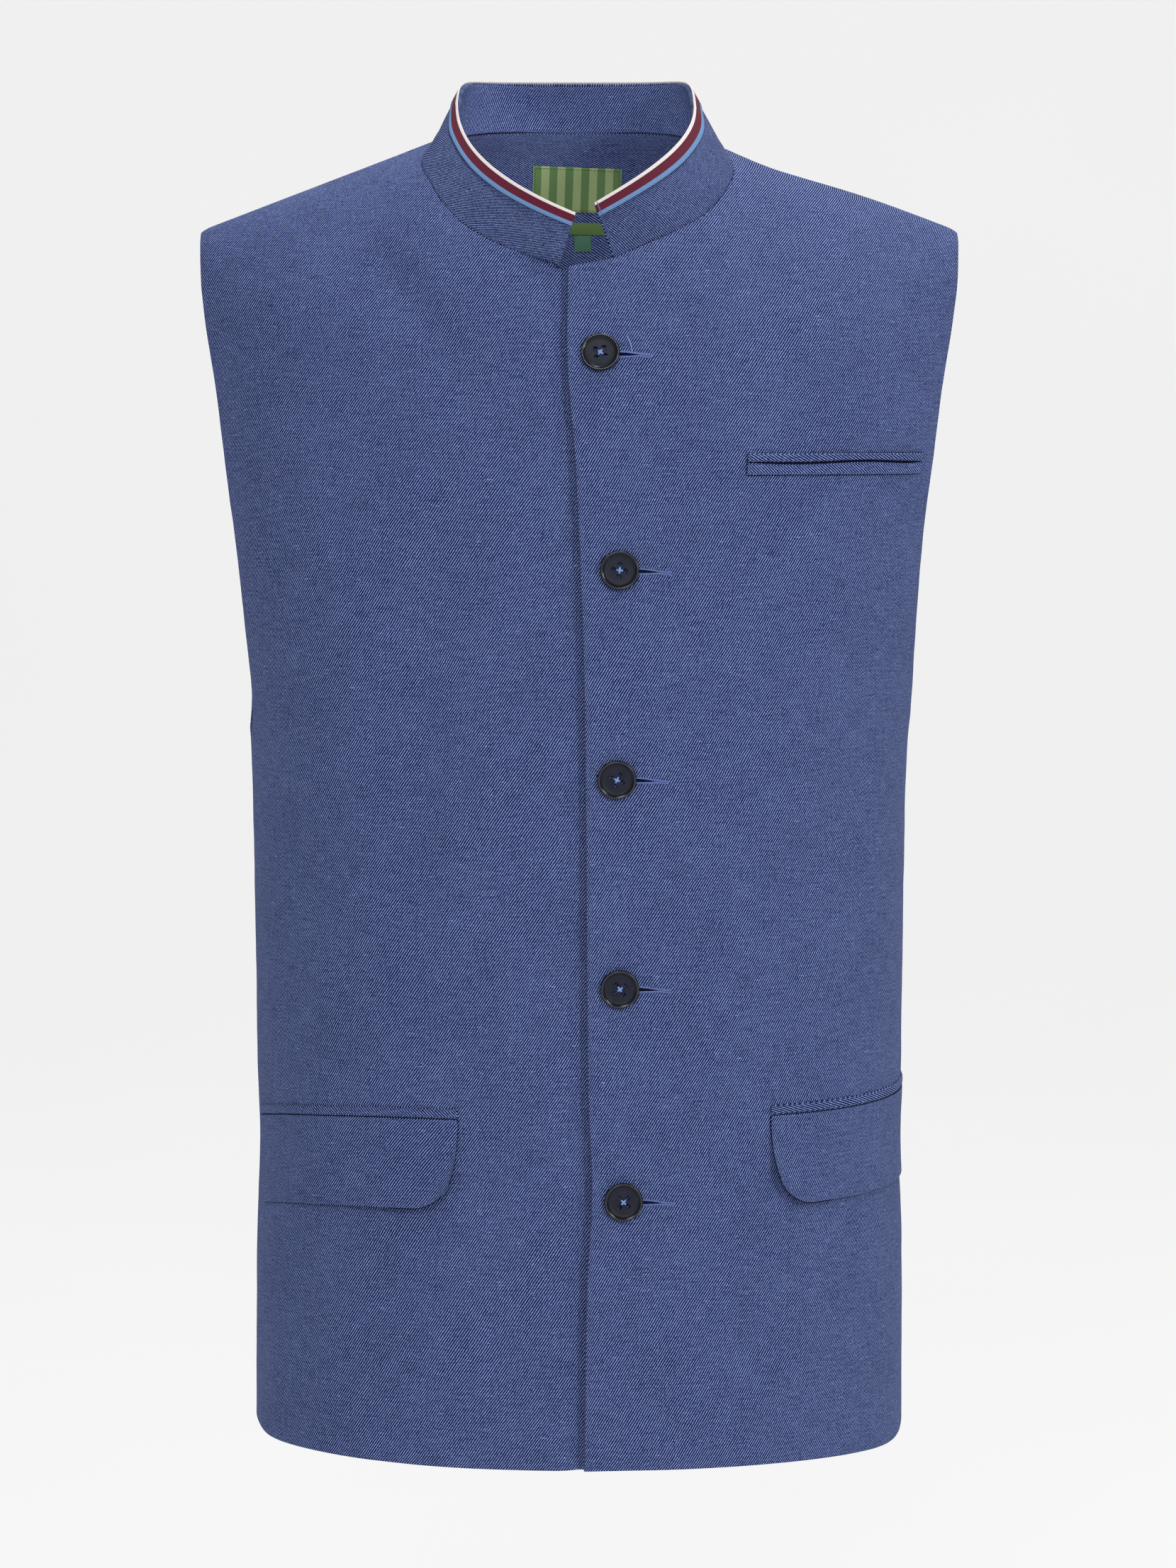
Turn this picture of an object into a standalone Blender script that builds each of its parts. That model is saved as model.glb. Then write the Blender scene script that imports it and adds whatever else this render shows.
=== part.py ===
"""A men's band-collared waistcoat, size M, filled out as if worn, with nothing inside it.

The front faces -Y and the wearer's left is +X. The origin lies midway between the two
points where the shoulder seams meet the collar. Each cut piece is one closed solid.
"""

import math
from collections import namedtuple

import bmesh
import bpy
from mathutils import Matrix, Vector
from mathutils.bvhtree import BVHTree

# Cloth and seams
WALL = 0.0020
COLLAR_WALL = 0.0022
SEAM_GAP = 0.0003
PROBE = 0.0008

# Heights of the body
ARMHOLE_TURN_Z = -0.200
UNDERARM_Z = -0.320
HEM_Z = -0.6985
HemWave = namedtuple("HemWave", "angle half_angle drop")
HEM_WAVES = (
    HemWave(angle=85.0, half_angle=30.0, drop=0.0035),
    HemWave(angle=-60.0, half_angle=35.0, drop=-0.0014),
)

# Shoulder line, seen from the front
NECK_POINT_X = 0.078
NECK_POINT_Z = -0.0017
SHOULDER_SLOPE = 0.380
SHOULDER_TIP_X = 0.2033
SHOULDER_ROUND_X = 0.190
SHOULDER_ROUND_DROP = 0.0060
LEFT_SHOULDER_DIP = 0.0048
LEFT_SHOULDER_DIP_X = 0.096
LEFT_SHOULDER_DIP_HALF_WIDTH = 0.043

# Fall of the cloth from the shoulder to its full depth
FRONT_CREST_RISE = 0.015
FRONT_FALL_CENTRE = 0.300
FRONT_FALL_TIP = 0.200
BACK_CREST_RISE = 0.055
BACK_FALL = 0.160

# Plan of the body: how square its rings are, and where seams and armholes stand on them
RING_POWER = 2.2
ARMHOLE_ANGLE = math.radians(70.0)
SEAM_SHIFT = math.radians(7.0)
LEFT_SEAM_ANGLE = math.radians(90.0) + SEAM_SHIFT
RIGHT_SEAM_ANGLE = -math.radians(90.0) + SEAM_SHIFT

# The body's rings from the shoulders to the hem
Section = namedtuple("Section", "z half_width front_depth back_depth")
BODY = (
    Section(z=-0.056, half_width=0.2163, front_depth=0.128, back_depth=0.112),
    Section(z=-0.083, half_width=0.2143, front_depth=0.129, back_depth=0.114),
    Section(z=-0.140, half_width=0.2047, front_depth=0.130, back_depth=0.116),
    Section(z=-0.220, half_width=0.1933, front_depth=0.131, back_depth=0.115),
    Section(z=-0.260, half_width=0.1872, front_depth=0.131, back_depth=0.112),
    Section(z=-0.320, half_width=0.1782, front_depth=0.129, back_depth=0.107),
    Section(z=-0.430, half_width=0.1758, front_depth=0.124, back_depth=0.100),
    Section(z=-0.500, half_width=0.1752, front_depth=0.122, back_depth=0.102),
    Section(z=-0.540, half_width=0.1741, front_depth=0.122, back_depth=0.105),
    Section(z=-0.600, half_width=0.1760, front_depth=0.124, back_depth=0.109),
    Section(z=-0.700, half_width=0.1767, front_depth=0.126, back_depth=0.115),
)

# Soft folds: the middle, the half sizes, the depth, and the lean from the vertical in degrees
Fold = namedtuple("Fold", "x z half_length half_width depth lean")
FRONT_FOLDS = (
    Fold(x=-0.088, z=-0.095, half_length=0.075, half_width=0.020, depth=0.0028, lean=-38.0),
    Fold(x=-0.086, z=-0.325, half_length=0.090, half_width=0.024, depth=0.0030, lean=8.0),
    Fold(x=-0.128, z=-0.440, half_length=0.080, half_width=0.018, depth=0.0018, lean=-6.0),
    Fold(x=0.077, z=-0.320, half_length=0.100, half_width=0.022, depth=0.0020, lean=-4.0),
    Fold(x=0.040, z=-0.510, half_length=0.055, half_width=0.014, depth=0.0020, lean=3.0),
    Fold(x=0.140, z=-0.110, half_length=0.050, half_width=0.024, depth=-0.0015, lean=20.0),
)
BACK_FOLDS = (
    Fold(x=-0.070, z=-0.330, half_length=0.120, half_width=0.024, depth=0.0035, lean=5.0),
    Fold(x=0.055, z=-0.370, half_length=0.100, half_width=0.022, depth=0.0030, lean=-6.0),
    Fold(x=0.105, z=-0.250, half_length=0.070, half_width=0.018, depth=0.0022, lean=-14.0),
    Fold(x=-0.010, z=-0.560, half_length=0.080, half_width=0.026, depth=0.0020, lean=2.0),
)

# Neckline, seen from the front, from the collar's end up to the side of the neck
NeckPoint = namedtuple("NeckPoint", "x z")
NECKLINE_RIGHT = (
    NeckPoint(x=-0.0101, z=-0.0709),
    NeckPoint(x=-0.0337, z=-0.0625),
    NeckPoint(x=-0.0520, z=-0.0537),
    NeckPoint(x=-0.0678, z=-0.0411),
    NeckPoint(x=-0.0787, z=-0.0249),
    NeckPoint(x=-0.0833, z=-0.0145),
)
NECKLINE_LEFT = (
    NeckPoint(x=0.0177, z=-0.0664),
    NeckPoint(x=0.0349, z=-0.0588),
    NeckPoint(x=0.0542, z=-0.0497),
    NeckPoint(x=0.0678, z=-0.0411),
    NeckPoint(x=0.0780, z=-0.0285),
    NeckPoint(x=0.0819, z=-0.0178),
)
NECKLINE_PATH_STEPS = 24
RIGHT_EDGE_TOP_Z = -0.0700
LEFT_EDGE_TOP_Z = -0.0713
NECKLINE_BACK_RISE = 0.0091

# The upper front's edge, and how far the under front reaches past it
EdgePoint = namedtuple("EdgePoint", "z x")
FRONT_EDGE = (
    EdgePoint(z=-0.071, x=-0.0060),
    EdgePoint(z=-0.122, x=-0.0062),
    EdgePoint(z=-0.175, x=-0.0020),
    EdgePoint(z=-0.285, x=0.0025),
    EdgePoint(z=-0.500, x=0.0045),
    EdgePoint(z=-0.550, x=0.0065),
    EdgePoint(z=-0.600, x=0.0040),
    EdgePoint(z=-0.698, x=0.0026),
)
UNDERLAP = 0.038
UNDERLAP_STEP_START = 0.018
UNDERLAP_STEP_END = 0.004

# Band collar's top ring: each side's front end, its height at the side, and how it sags between
CollarTop = namedtuple("CollarTop", "side end_x end_z side_z sag")
COLLAR_TOP_RIGHT = CollarTop(side=-1, end_x=-0.0017, end_z=-0.0434, side_z=0.0190, sag=0.34)
COLLAR_TOP_LEFT = CollarTop(side=1, end_x=0.0080, end_z=-0.0382, side_z=0.0165, sag=0.05)
COLLAR_TOP_CENTRE_X = -0.0018
COLLAR_TOP_HALF_WIDTH = 0.0630
COLLAR_TOP_FRONT = 0.0800
COLLAR_TOP_BACK = 0.0600
COLLAR_TOP_BACK_POWER = 3.4
COLLAR_TOP_BACK_Z = 0.0330
COLLAR_TOP_BACK_RISE_POWER = 7
COLLAR_BULGE = 0.0012
COLLAR_LIFT = 0.0006
TAPE_HEIGHT = 0.0082
TAPE_WALL = 0.0010

# Chest pocket on the left front
WELT_START_X = 0.0866
WELT_END_X = 0.1805
UPPER_WELT_TOP_Z = -0.1675
UPPER_WELT_HEIGHT = 0.0045
LOWER_WELT_TOP_Z = -0.1728
LOWER_WELT_HEIGHT = 0.0062
WELT_WALL = 0.0014

# Hip pockets: where each starts, and how much lower its side end lies
Pocket = namedtuple("Pocket", "side start_x top_z sag")
POCKETS = (
    Pocket(side="right", start_x=-0.0629, top_z=-0.5142, sag=0.0110),
    Pocket(side="left", start_x=0.1004, top_z=-0.5138, sag=-0.0040),
)
FLAP_LENGTH = 0.150
FLAP_HEIGHT = 0.0478
FLAP_CORNER = 0.0160
FLAP_LEAN = 0.0075
FLAP_WALL = 0.0016
FLAP_FLARE = 0.0020
JET_HEIGHT = 0.0052
JET_WALL = 0.0014

# Back neck facing and labels, which lie on it
FACING_HALF_WIDTH = 0.0740
FACING_DEPTH = 0.0800
FACING_WALL = 0.0010
FACING_TOP_GAP = 0.0012
Label = namedtuple("Label", "name left right top bottom")
LABELS = (
    Label(name="neck_label", left=-0.0268, right=0.0240, top=-0.0100, bottom=-0.0347),
    Label(name="fit_tab", left=-0.0170, right=0.0170, top=-0.0405, bottom=-0.0474),
    Label(name="size_tab", left=-0.0030, right=0.0068, top=-0.0477, bottom=-0.0566),
)
LABEL_WALL = 0.0010

# Buttons, 32 ligne
BUTTON_RADIUS = 0.01015
BUTTON_THICKNESS = 0.0034
BUTTON_HOLE_RADIUS = 0.0010
BUTTON_HOLE_OFFSET = 0.0018
BUTTON_TURN = math.radians(12.0)
ButtonPlace = namedtuple("ButtonPlace", "x z")
BUTTONS = (
    ButtonPlace(x=0.0112, z=-0.1158),
    ButtonPlace(x=0.0210, z=-0.2274),
    ButtonPlace(x=0.0196, z=-0.3354),
    ButtonPlace(x=0.0212, z=-0.4448),
    ButtonPlace(x=0.0231, z=-0.5568),
)

# Mesh density
LEFT_EDGE_COLUMNS = 2
RIGHT_EDGE_COLUMNS = 2
NECK_COLUMNS = 10
SHOULDER_COLUMNS = 8
BACK_NECK_COLUMNS = 14
BACK_SHOULDER_COLUMNS = 8
ARMHOLE_ROWS = 15
LOWER_ROWS = 8
COLLAR_ROWS = 3
BUTTON_SIDES = 20
HOLE_SIDES = 6


# Small helpers

def clamp(value, low, high):
    return max(low, min(high, value))


def mix(a, b, share):
    return a + (b - a) * share


def smooth_step(low, high, value):
    share = clamp((value - low) / (high - low), 0.0, 1.0)
    return share * share * (3.0 - 2.0 * share)


def along_table(table, z, column):
    """Value of a column at a height, on a smooth curve through the table's rows, top row first."""
    if z >= table[0].z:
        return getattr(table[0], column)
    if z <= table[-1].z:
        return getattr(table[-1], column)
    last = len(table) - 1
    row = next(i for i in range(last) if table[i].z >= z >= table[i + 1].z)

    def slope(i):
        before, after = table[max(i - 1, 0)], table[min(i + 1, last)]
        return (getattr(after, column) - getattr(before, column)) / (after.z - before.z)

    start, end = table[row], table[row + 1]
    span = end.z - start.z
    share = (z - start.z) / span
    from_start = (1.0 + 2.0 * share) * (1.0 - share) ** 2 * getattr(start, column)
    from_end = share * share * (3.0 - 2.0 * share) * getattr(end, column)
    lean_start = share * (1.0 - share) ** 2 * span * slope(row)
    lean_end = share * share * (share - 1.0) * span * slope(row + 1)
    return from_start + from_end + lean_start + lean_end


# The garment's form

def left_dip(x):
    """How far the wearer's left shoulder hangs below the right one, near the collar."""
    share = (x - LEFT_SHOULDER_DIP_X) / LEFT_SHOULDER_DIP_HALF_WIDTH
    return LEFT_SHOULDER_DIP * math.exp(-share * share)


def shoulder_z(x):
    """Height of the shoulder line over the plane of the shoulder seams."""
    across = abs(x)
    z = NECK_POINT_Z - SHOULDER_SLOPE * (across - NECK_POINT_X)
    if across > SHOULDER_ROUND_X:
        share = (across - SHOULDER_ROUND_X) / (SHOULDER_TIP_X - SHOULDER_ROUND_X)
        z -= SHOULDER_ROUND_DROP * share ** 3
    return z - left_dip(x)


def crest_z(x, rise):
    """Height at which the cloth would cross the plane of the shoulder seams."""
    share = abs(x) / NECK_POINT_X
    if share >= 1.0:
        return shoulder_z(x)
    return NECK_POINT_Z + rise * (1.0 - share * share) - left_dip(x)


def hem_z(angle):
    """Height of the hem, which hangs lower at the wearer's left side."""
    drops = [wave.drop * math.exp(-((math.degrees(angle) - wave.angle) / wave.half_angle) ** 2)
             for wave in HEM_WAVES]
    return HEM_Z - sum(drops)


def fold_depth(folds, x, z):
    """How far the folds of one side press the cloth in."""
    total = 0.0
    for fold in folds:
        lean = math.radians(fold.lean)
        along = (x - fold.x) * math.sin(lean) + (z - fold.z) * math.cos(lean)
        across = (x - fold.x) * math.cos(lean) - (z - fold.z) * math.sin(lean)
        distance = (along / fold.half_length) ** 2 + (across / fold.half_width) ** 2
        total += fold.depth * math.exp(-distance)
    return total


def skin(angle, z):
    """Outer face of the cloth. The angle runs from the centre front towards the wearer's left."""
    x = along_table(BODY, z, "half_width") * math.sin(angle)
    round_share = max(0.0, 1.0 - abs(math.sin(angle)) ** RING_POWER) ** (1.0 / RING_POWER)
    if math.cos(angle) > 0.0:
        fall = mix(FRONT_FALL_CENTRE, FRONT_FALL_TIP, clamp(abs(x) / SHOULDER_TIP_X, 0.0, 1.0))
        below = clamp((crest_z(x, FRONT_CREST_RISE) - z) / fall, 0.0, 1.0)
        depth = along_table(BODY, z, "front_depth") - fold_depth(FRONT_FOLDS, x, z)
        y = -depth * round_share * math.sqrt(1.0 - (1.0 - below) ** 2)
    else:
        below = clamp((crest_z(x, BACK_CREST_RISE) - z) / BACK_FALL, 0.0, 1.0)
        depth = along_table(BODY, z, "back_depth") - fold_depth(BACK_FOLDS, x, z)
        y = depth * round_share * math.sqrt(1.0 - (1.0 - below) ** 2)
    return Vector((x, y, z))


def skin_normal(angle, z):
    """Direction out of the cloth, away from the shoulder seam."""
    step_angle, step_z = 0.002, 0.0005
    across = skin(angle + step_angle, z) - skin(angle - step_angle, z)
    down = skin(angle, z - step_z) - skin(angle, z + step_z)
    return down.cross(across).normalized()


def front_angle(x, z):
    return math.asin(clamp(x / along_table(BODY, z, "half_width"), -1.0, 1.0))


def back_angle(x, z):
    return math.pi - front_angle(x, z)


def walk_ring(angle, z, length):
    """Angle reached by going a given length round the ring at one height, towards the side."""
    step = 0.0005
    direction = 1.0 if angle > 0.0 else -1.0
    here, gone = skin(angle, z), 0.0
    while gone < length:
        angle += direction * step
        there = skin(angle, z)
        gone += (there - here).length
        here = there
    return angle


def smooth_path(points, count):
    """Evenly spaced points on a smooth curve through given ones, both ends included."""
    padded = [2.0 * points[0] - points[1], *points, 2.0 * points[-1] - points[-2]]
    dense = []
    for before, start, end, after in zip(padded, padded[1:], padded[2:], padded[3:]):
        for i in range(NECKLINE_PATH_STEPS):
            share = i / NECKLINE_PATH_STEPS
            bend = (2.0 * before - 5.0 * start + 4.0 * end - after) * share ** 2
            twist = (3.0 * (start - end) + after - before) * share ** 3
            dense.append(0.5 * (2.0 * start + (end - before) * share + bend + twist))
    dense.append(points[-1])
    gone = [0.0]
    for here, there in zip(dense, dense[1:]):
        gone.append(gone[-1] + (there - here).length)
    path, at = [], 0
    for i in range(count + 1):
        wanted = gone[-1] * i / count
        while at < len(dense) - 2 and gone[at + 1] < wanted:
            at += 1
        path.append(dense[at].lerp(dense[at + 1], (wanted - gone[at]) / (gone[at + 1] - gone[at])))
    return path


def neckline_front(start_x, start_z, side):
    """Angles and heights along the front neckline, from a front's edge to the neck point."""
    table = NECKLINE_LEFT if side > 0 else NECKLINE_RIGHT
    neck_point = Vector((side * NECK_POINT_X, shoulder_z(side * NECK_POINT_X)))
    path = smooth_path([Vector((point.x, point.z)) for point in table] + [neck_point], NECK_COLUMNS)
    steps = LEFT_EDGE_COLUMNS if side > 0 else RIGHT_EDGE_COLUMNS
    start = Vector((start_x, start_z))
    path = [start.lerp(path[0], i / steps) for i in range(steps)] + path
    return [(front_angle(x, z), z) for x, z in path]


def back_neck_z(x):
    """Height of the back neckline."""
    share = min(abs(x) / NECK_POINT_X, 1.0)
    end_z = shoulder_z(math.copysign(NECK_POINT_X, x))
    middle_z = NECK_POINT_Z + NECKLINE_BACK_RISE
    return mix(middle_z, end_z, share ** 4)


def neckline_back(count):
    """Angles and heights along the back neckline, from the wearer's left to the right."""
    places = []
    for i in range(count + 1):
        x = NECK_POINT_X * math.cos(math.pi * i / count)
        places.append((back_angle(x, back_neck_z(x)), back_neck_z(x)))
    return places


def shoulder(side, count, angle_of):
    """Angles and heights along the shoulder seam, from the neck to the tip."""
    places = []
    for i in range(count + 1):
        x = mix(NECK_POINT_X, SHOULDER_TIP_X, math.sin(0.5 * math.pi * i / count) ** 0.9)
        z = shoulder_z(side * x)
        places.append((angle_of(side * x, z), z))
    return places


def armhole_angle(z, seam_angle, open_angle):
    """Angle of an armhole's edge, which turns to the side seam in a round bottom."""
    share = clamp((ARMHOLE_TURN_Z - z) / (ARMHOLE_TURN_Z - UNDERARM_Z), 0.0, 1.0)
    return mix(open_angle, seam_angle, 1.0 - math.sqrt(1.0 - share * share))


# Meshes

def material(name, colour, roughness):
    made = bpy.data.materials.new(name)
    made.use_nodes = True
    shader = made.node_tree.nodes["Principled BSDF"]
    shader.inputs["Base Color"].default_value = (*colour, 1.0)
    shader.inputs["Roughness"].default_value = roughness
    shader.inputs["Metallic"].default_value = 0.0
    return made


def finish(name, mesh_tool, made_material, smooth_angle=40.0):
    """Turns a bmesh into a named object of triangles with its faces pointing out."""
    bmesh.ops.recalc_face_normals(mesh_tool, faces=mesh_tool.faces)
    bmesh.ops.triangulate(mesh_tool, faces=mesh_tool.faces)
    mesh = bpy.data.meshes.new(name)
    mesh_tool.to_mesh(mesh)
    mesh_tool.free()
    mesh.shade_smooth()
    mesh.set_sharp_from_angle(angle=math.radians(smooth_angle))
    mesh.materials.append(made_material)
    thing = bpy.data.objects.new(name, mesh)
    bpy.context.scene.collection.objects.link(thing)
    return thing


def grid_normals(rows):
    """Directions out of a grid of points, from its neighbours."""
    last_row, last_column = len(rows) - 1, len(rows[0]) - 1
    normals = []
    for i in range(last_row + 1):
        line = []
        for j in range(last_column + 1):
            across = rows[i][min(j + 1, last_column)] - rows[i][max(j - 1, 0)]
            down = rows[min(i + 1, last_row)][j] - rows[max(i - 1, 0)][j]
            line.append(down.cross(across).normalized())
        normals.append(line)
    return normals


def wall(name, outer, inner, made_material):
    """Closed wall between two grids of points of the same size."""
    mesh_tool = bmesh.new()
    front = [[mesh_tool.verts.new(point) for point in row] for row in outer]
    rear = [[mesh_tool.verts.new(point) for point in row] for row in inner]
    last_row, last_column = len(outer) - 1, len(outer[0]) - 1
    for i in range(last_row):
        for j in range(last_column):
            mesh_tool.faces.new((front[i][j], front[i][j + 1], front[i + 1][j + 1], front[i + 1][j]))
            mesh_tool.faces.new((rear[i][j], rear[i + 1][j], rear[i + 1][j + 1], rear[i][j + 1]))
    border = [(0, j) for j in range(last_column)]
    border += [(i, last_column) for i in range(last_row)]
    border += [(last_row, j) for j in range(last_column, 0, -1)]
    border += [(i, 0) for i in range(last_row, 0, -1)]
    for here, there in zip(border, border[1:] + border[:1]):
        mesh_tool.faces.new((front[here[0]][here[1]], rear[here[0]][here[1]],
                             rear[there[0]][there[1]], front[there[0]][there[1]]))
    return finish(name, mesh_tool, made_material)


def tree_of(thing):
    mesh = thing.data
    return BVHTree.FromPolygons([vertex.co for vertex in mesh.vertices],
                                [polygon.vertices for polygon in mesh.polygons])


def inset(rows, normals, depth):
    return [[point - normal * depth for point, normal in zip(line, directions)]
            for line, directions in zip(rows, normals)]


# Panels

Panel = namedtuple("Panel", "tree places rows")


def panel_places(top, bottom_angles, left_edge, right_edge):
    """Angles and heights of a panel's grid, from its top edge down to the hem."""
    last = len(top) - 1
    bottom = bottom_angles(UNDERARM_Z)
    rows = []
    for i in range(ARMHOLE_ROWS + 1):
        share = 0.5 - 0.5 * math.cos(math.pi * i / ARMHOLE_ROWS)
        spread = math.sqrt(share)
        first = left_edge(mix(top[0][1], UNDERARM_Z, share)) - mix(top[0][0], bottom[0], spread)
        final = right_edge(mix(top[-1][1], UNDERARM_Z, share)) - mix(top[-1][0], bottom[-1], spread)
        line = []
        for j, (angle, z_top) in enumerate(top):
            place = j / last
            turn = mix(angle, bottom[j], spread) + (1.0 - place) * first + place * final
            line.append((turn, mix(z_top, UNDERARM_Z, share)))
        rows.append(line)
    for i in range(1, LOWER_ROWS + 1):
        z = mix(UNDERARM_Z, HEM_Z, i / LOWER_ROWS)
        rows.append([(angle, mix(UNDERARM_Z, hem_z(angle), i / LOWER_ROWS)) for angle in bottom_angles(z)])
    return rows


def square_seams(rows, normals, shoulder_columns, side_columns):
    """Makes a panel's edges meet its neighbours' squarely at the shoulder and side seams."""
    for j in shoulder_columns:
        normals[0][j].y = 0.0
        normals[0][j].normalize()
    for j, seam_angle in side_columns:
        for i in range(ARMHOLE_ROWS, len(rows)):
            normals[i][j] = skin_normal(seam_angle, rows[i][j].z)


def underlap_depth(point):
    """How far the under front lies below the upper one's face, at a point of the front."""
    edge = along_table(FRONT_EDGE, point.z, "x")
    share = smooth_step(edge - UNDERLAP_STEP_START, edge - UNDERLAP_STEP_END, point.x)
    return (WALL + SEAM_GAP) * share


def front(side, made_material):
    """One front, from its edge to the side seam. Side is 1 for the wearer's left, -1 for the right."""
    seam_angle = LEFT_SEAM_ANGLE if side > 0 else RIGHT_SEAM_ANGLE
    gap_angle = 0.5 * SEAM_GAP / BODY[-1].front_depth
    side_angle = seam_angle - side * gap_angle

    def edge_angle(z):
        x = along_table(FRONT_EDGE, z, "x") + (0.0 if side > 0 else UNDERLAP)
        return front_angle(x, z)

    start_x = FRONT_EDGE[0].x + (0.0 if side > 0 else UNDERLAP)
    top = neckline_front(start_x, LEFT_EDGE_TOP_Z if side > 0 else RIGHT_EDGE_TOP_Z, side)
    neck_column = len(top) - 1
    top += shoulder(side, SHOULDER_COLUMNS, front_angle)[1:]

    def bottom_angles(z):
        count = len(top) - 1
        if side > 0:
            return [mix(edge_angle(z), side_angle, j / count) for j in range(count + 1)]
        edge = along_table(FRONT_EDGE, z, "x")
        reaches = (UNDERLAP, 0.5 * UNDERLAP, -UNDERLAP_STEP_END, -UNDERLAP_STEP_START)
        angles = [front_angle(edge + reach, z) for reach in reaches]
        rest = count + 1 - len(angles)
        return angles + [mix(angles[-1], side_angle, j / rest) for j in range(1, rest + 1)]

    def armhole_edge(z):
        return armhole_angle(z, side_angle, side * ARMHOLE_ANGLE)

    places = panel_places(top, bottom_angles, edge_angle, armhole_edge)
    rows = [[skin(angle, z) for angle, z in line] for line in places]
    for j in range(neck_column, len(top)):
        rows[0][j].y = -0.5 * SEAM_GAP
    normals = grid_normals(rows)
    if side < 0:
        normals = [[-normal for normal in line] for line in normals]
    square_seams(rows, normals, range(neck_column, len(top)), [(-1, seam_angle)])
    if side < 0:
        rows = [[point - normal * underlap_depth(point) for point, normal in zip(line, directions)]
                for line, directions in zip(rows, normals)]
    name = "front_left" if side > 0 else "front_right"
    return Panel(tree_of(wall(name, rows, inset(rows, normals, WALL), made_material)), places, rows)


def back(made_material):
    """The back, one piece from side seam to side seam."""
    gap_angle = 0.5 * SEAM_GAP / BODY[-1].back_depth
    first_angle = LEFT_SEAM_ANGLE + gap_angle
    last_angle = RIGHT_SEAM_ANGLE + 2.0 * math.pi - gap_angle

    def bottom_angles(z):
        count = BACK_NECK_COLUMNS + 2 * BACK_SHOULDER_COLUMNS
        return [mix(first_angle, last_angle, j / count) for j in range(count + 1)]

    def left_armhole(z):
        return armhole_angle(z, first_angle, math.pi - ARMHOLE_ANGLE)

    def right_armhole(z):
        return armhole_angle(z, last_angle, math.pi + ARMHOLE_ANGLE)

    top = shoulder(1, BACK_SHOULDER_COLUMNS, back_angle)[::-1]
    top += neckline_back(BACK_NECK_COLUMNS)[1:-1]
    top += shoulder(-1, BACK_SHOULDER_COLUMNS, back_angle)
    places = panel_places(top, bottom_angles, left_armhole, right_armhole)
    rows = [[skin(angle, z) for angle, z in line] for line in places]
    shoulder_columns = list(range(BACK_SHOULDER_COLUMNS + 1))
    shoulder_columns += list(range(len(top) - 1 - BACK_SHOULDER_COLUMNS, len(top)))
    for j in shoulder_columns:
        rows[0][j].y = 0.5 * SEAM_GAP
    normals = grid_normals(rows)
    square_seams(rows, normals, shoulder_columns, [(0, LEFT_SEAM_ANGLE), (-1, RIGHT_SEAM_ANGLE)])
    return Panel(tree_of(wall("back", rows, inset(rows, normals, WALL), made_material)), places, rows)


# Collar

def collar_base(right, rear, left):
    """Points of the collar's seam, from its right end round the back to its left end."""
    points = right.rows[0][RIGHT_EDGE_COLUMNS:RIGHT_EDGE_COLUMNS + NECK_COLUMNS + 1]
    rear_neck = rear.rows[0][BACK_SHOULDER_COLUMNS + 1:BACK_SHOULDER_COLUMNS + BACK_NECK_COLUMNS]
    points += rear_neck[::-1]
    points += left.rows[0][LEFT_EDGE_COLUMNS:LEFT_EDGE_COLUMNS + NECK_COLUMNS + 1][::-1]
    return points


def collar_top_point(spec, turn):
    """Point of the collar's top ring. The turn is 0 at the side, 1 at the front end, -1 at the back."""
    if turn >= 0.0:
        end_share = spec.side * (spec.end_x - COLLAR_TOP_CENTRE_X) / COLLAR_TOP_HALF_WIDTH
        end_turn = math.acos(clamp(end_share, -1.0, 1.0))
        x = COLLAR_TOP_CENTRE_X + spec.side * COLLAR_TOP_HALF_WIDTH * math.cos(turn * end_turn)
        y = -COLLAR_TOP_FRONT * math.sin(turn * end_turn)
        z = mix(spec.side_z, spec.end_z, turn + spec.sag * turn * (1.0 - turn))
        return Vector((x, y, z))
    power = 2.0 / COLLAR_TOP_BACK_POWER
    quarter = -turn * math.pi / 2.0
    x = COLLAR_TOP_CENTRE_X + spec.side * COLLAR_TOP_HALF_WIDTH * max(0.0, math.cos(quarter)) ** power
    y = COLLAR_TOP_BACK * math.sin(quarter) ** power
    z = mix(spec.side_z, COLLAR_TOP_BACK_Z, 1.0 - (1.0 + turn) ** COLLAR_TOP_BACK_RISE_POWER)
    return Vector((x, y, z))


def collar_top():
    """Points of the collar's top edge, one above each point of its seam."""
    half = BACK_NECK_COLUMNS // 2
    right_turns = [1.0 - i / NECK_COLUMNS for i in range(NECK_COLUMNS + 1)]
    right_turns += [-i / half for i in range(1, half + 1)]
    left_turns = [i / half - 1.0 for i in range(1, half)]
    left_turns += [i / NECK_COLUMNS for i in range(NECK_COLUMNS + 1)]
    points = [collar_top_point(COLLAR_TOP_RIGHT, turn) for turn in right_turns]
    return points + [collar_top_point(COLLAR_TOP_LEFT, turn) for turn in left_turns]


def collar_rows(base, start_share, end_share, count):
    """Grid of the collar's outer face between two shares of its height, top row first."""
    top = collar_top()
    rows = []
    for i in range(count + 1):
        share = mix(end_share, start_share, i / count)
        line = []
        for low, high in zip(base, top):
            upright = (high - low).normalized()
            start = low + upright * COLLAR_LIFT
            outward = Vector((low.x, low.y, 0.0)).normalized()
            bulge = COLLAR_BULGE * 4.0 * share * (1.0 - share)
            line.append(start.lerp(high, share) + outward * bulge)
        rows.append(line)
    return rows


def collar(base, made_material):
    rows = collar_rows(base, 0.0, 1.0, COLLAR_ROWS)
    return wall("collar", rows, inset(rows, collar_normals(rows), COLLAR_WALL), made_material)


def collar_normals(rows):
    return [[-normal for normal in line] for line in grid_normals(rows)]


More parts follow.
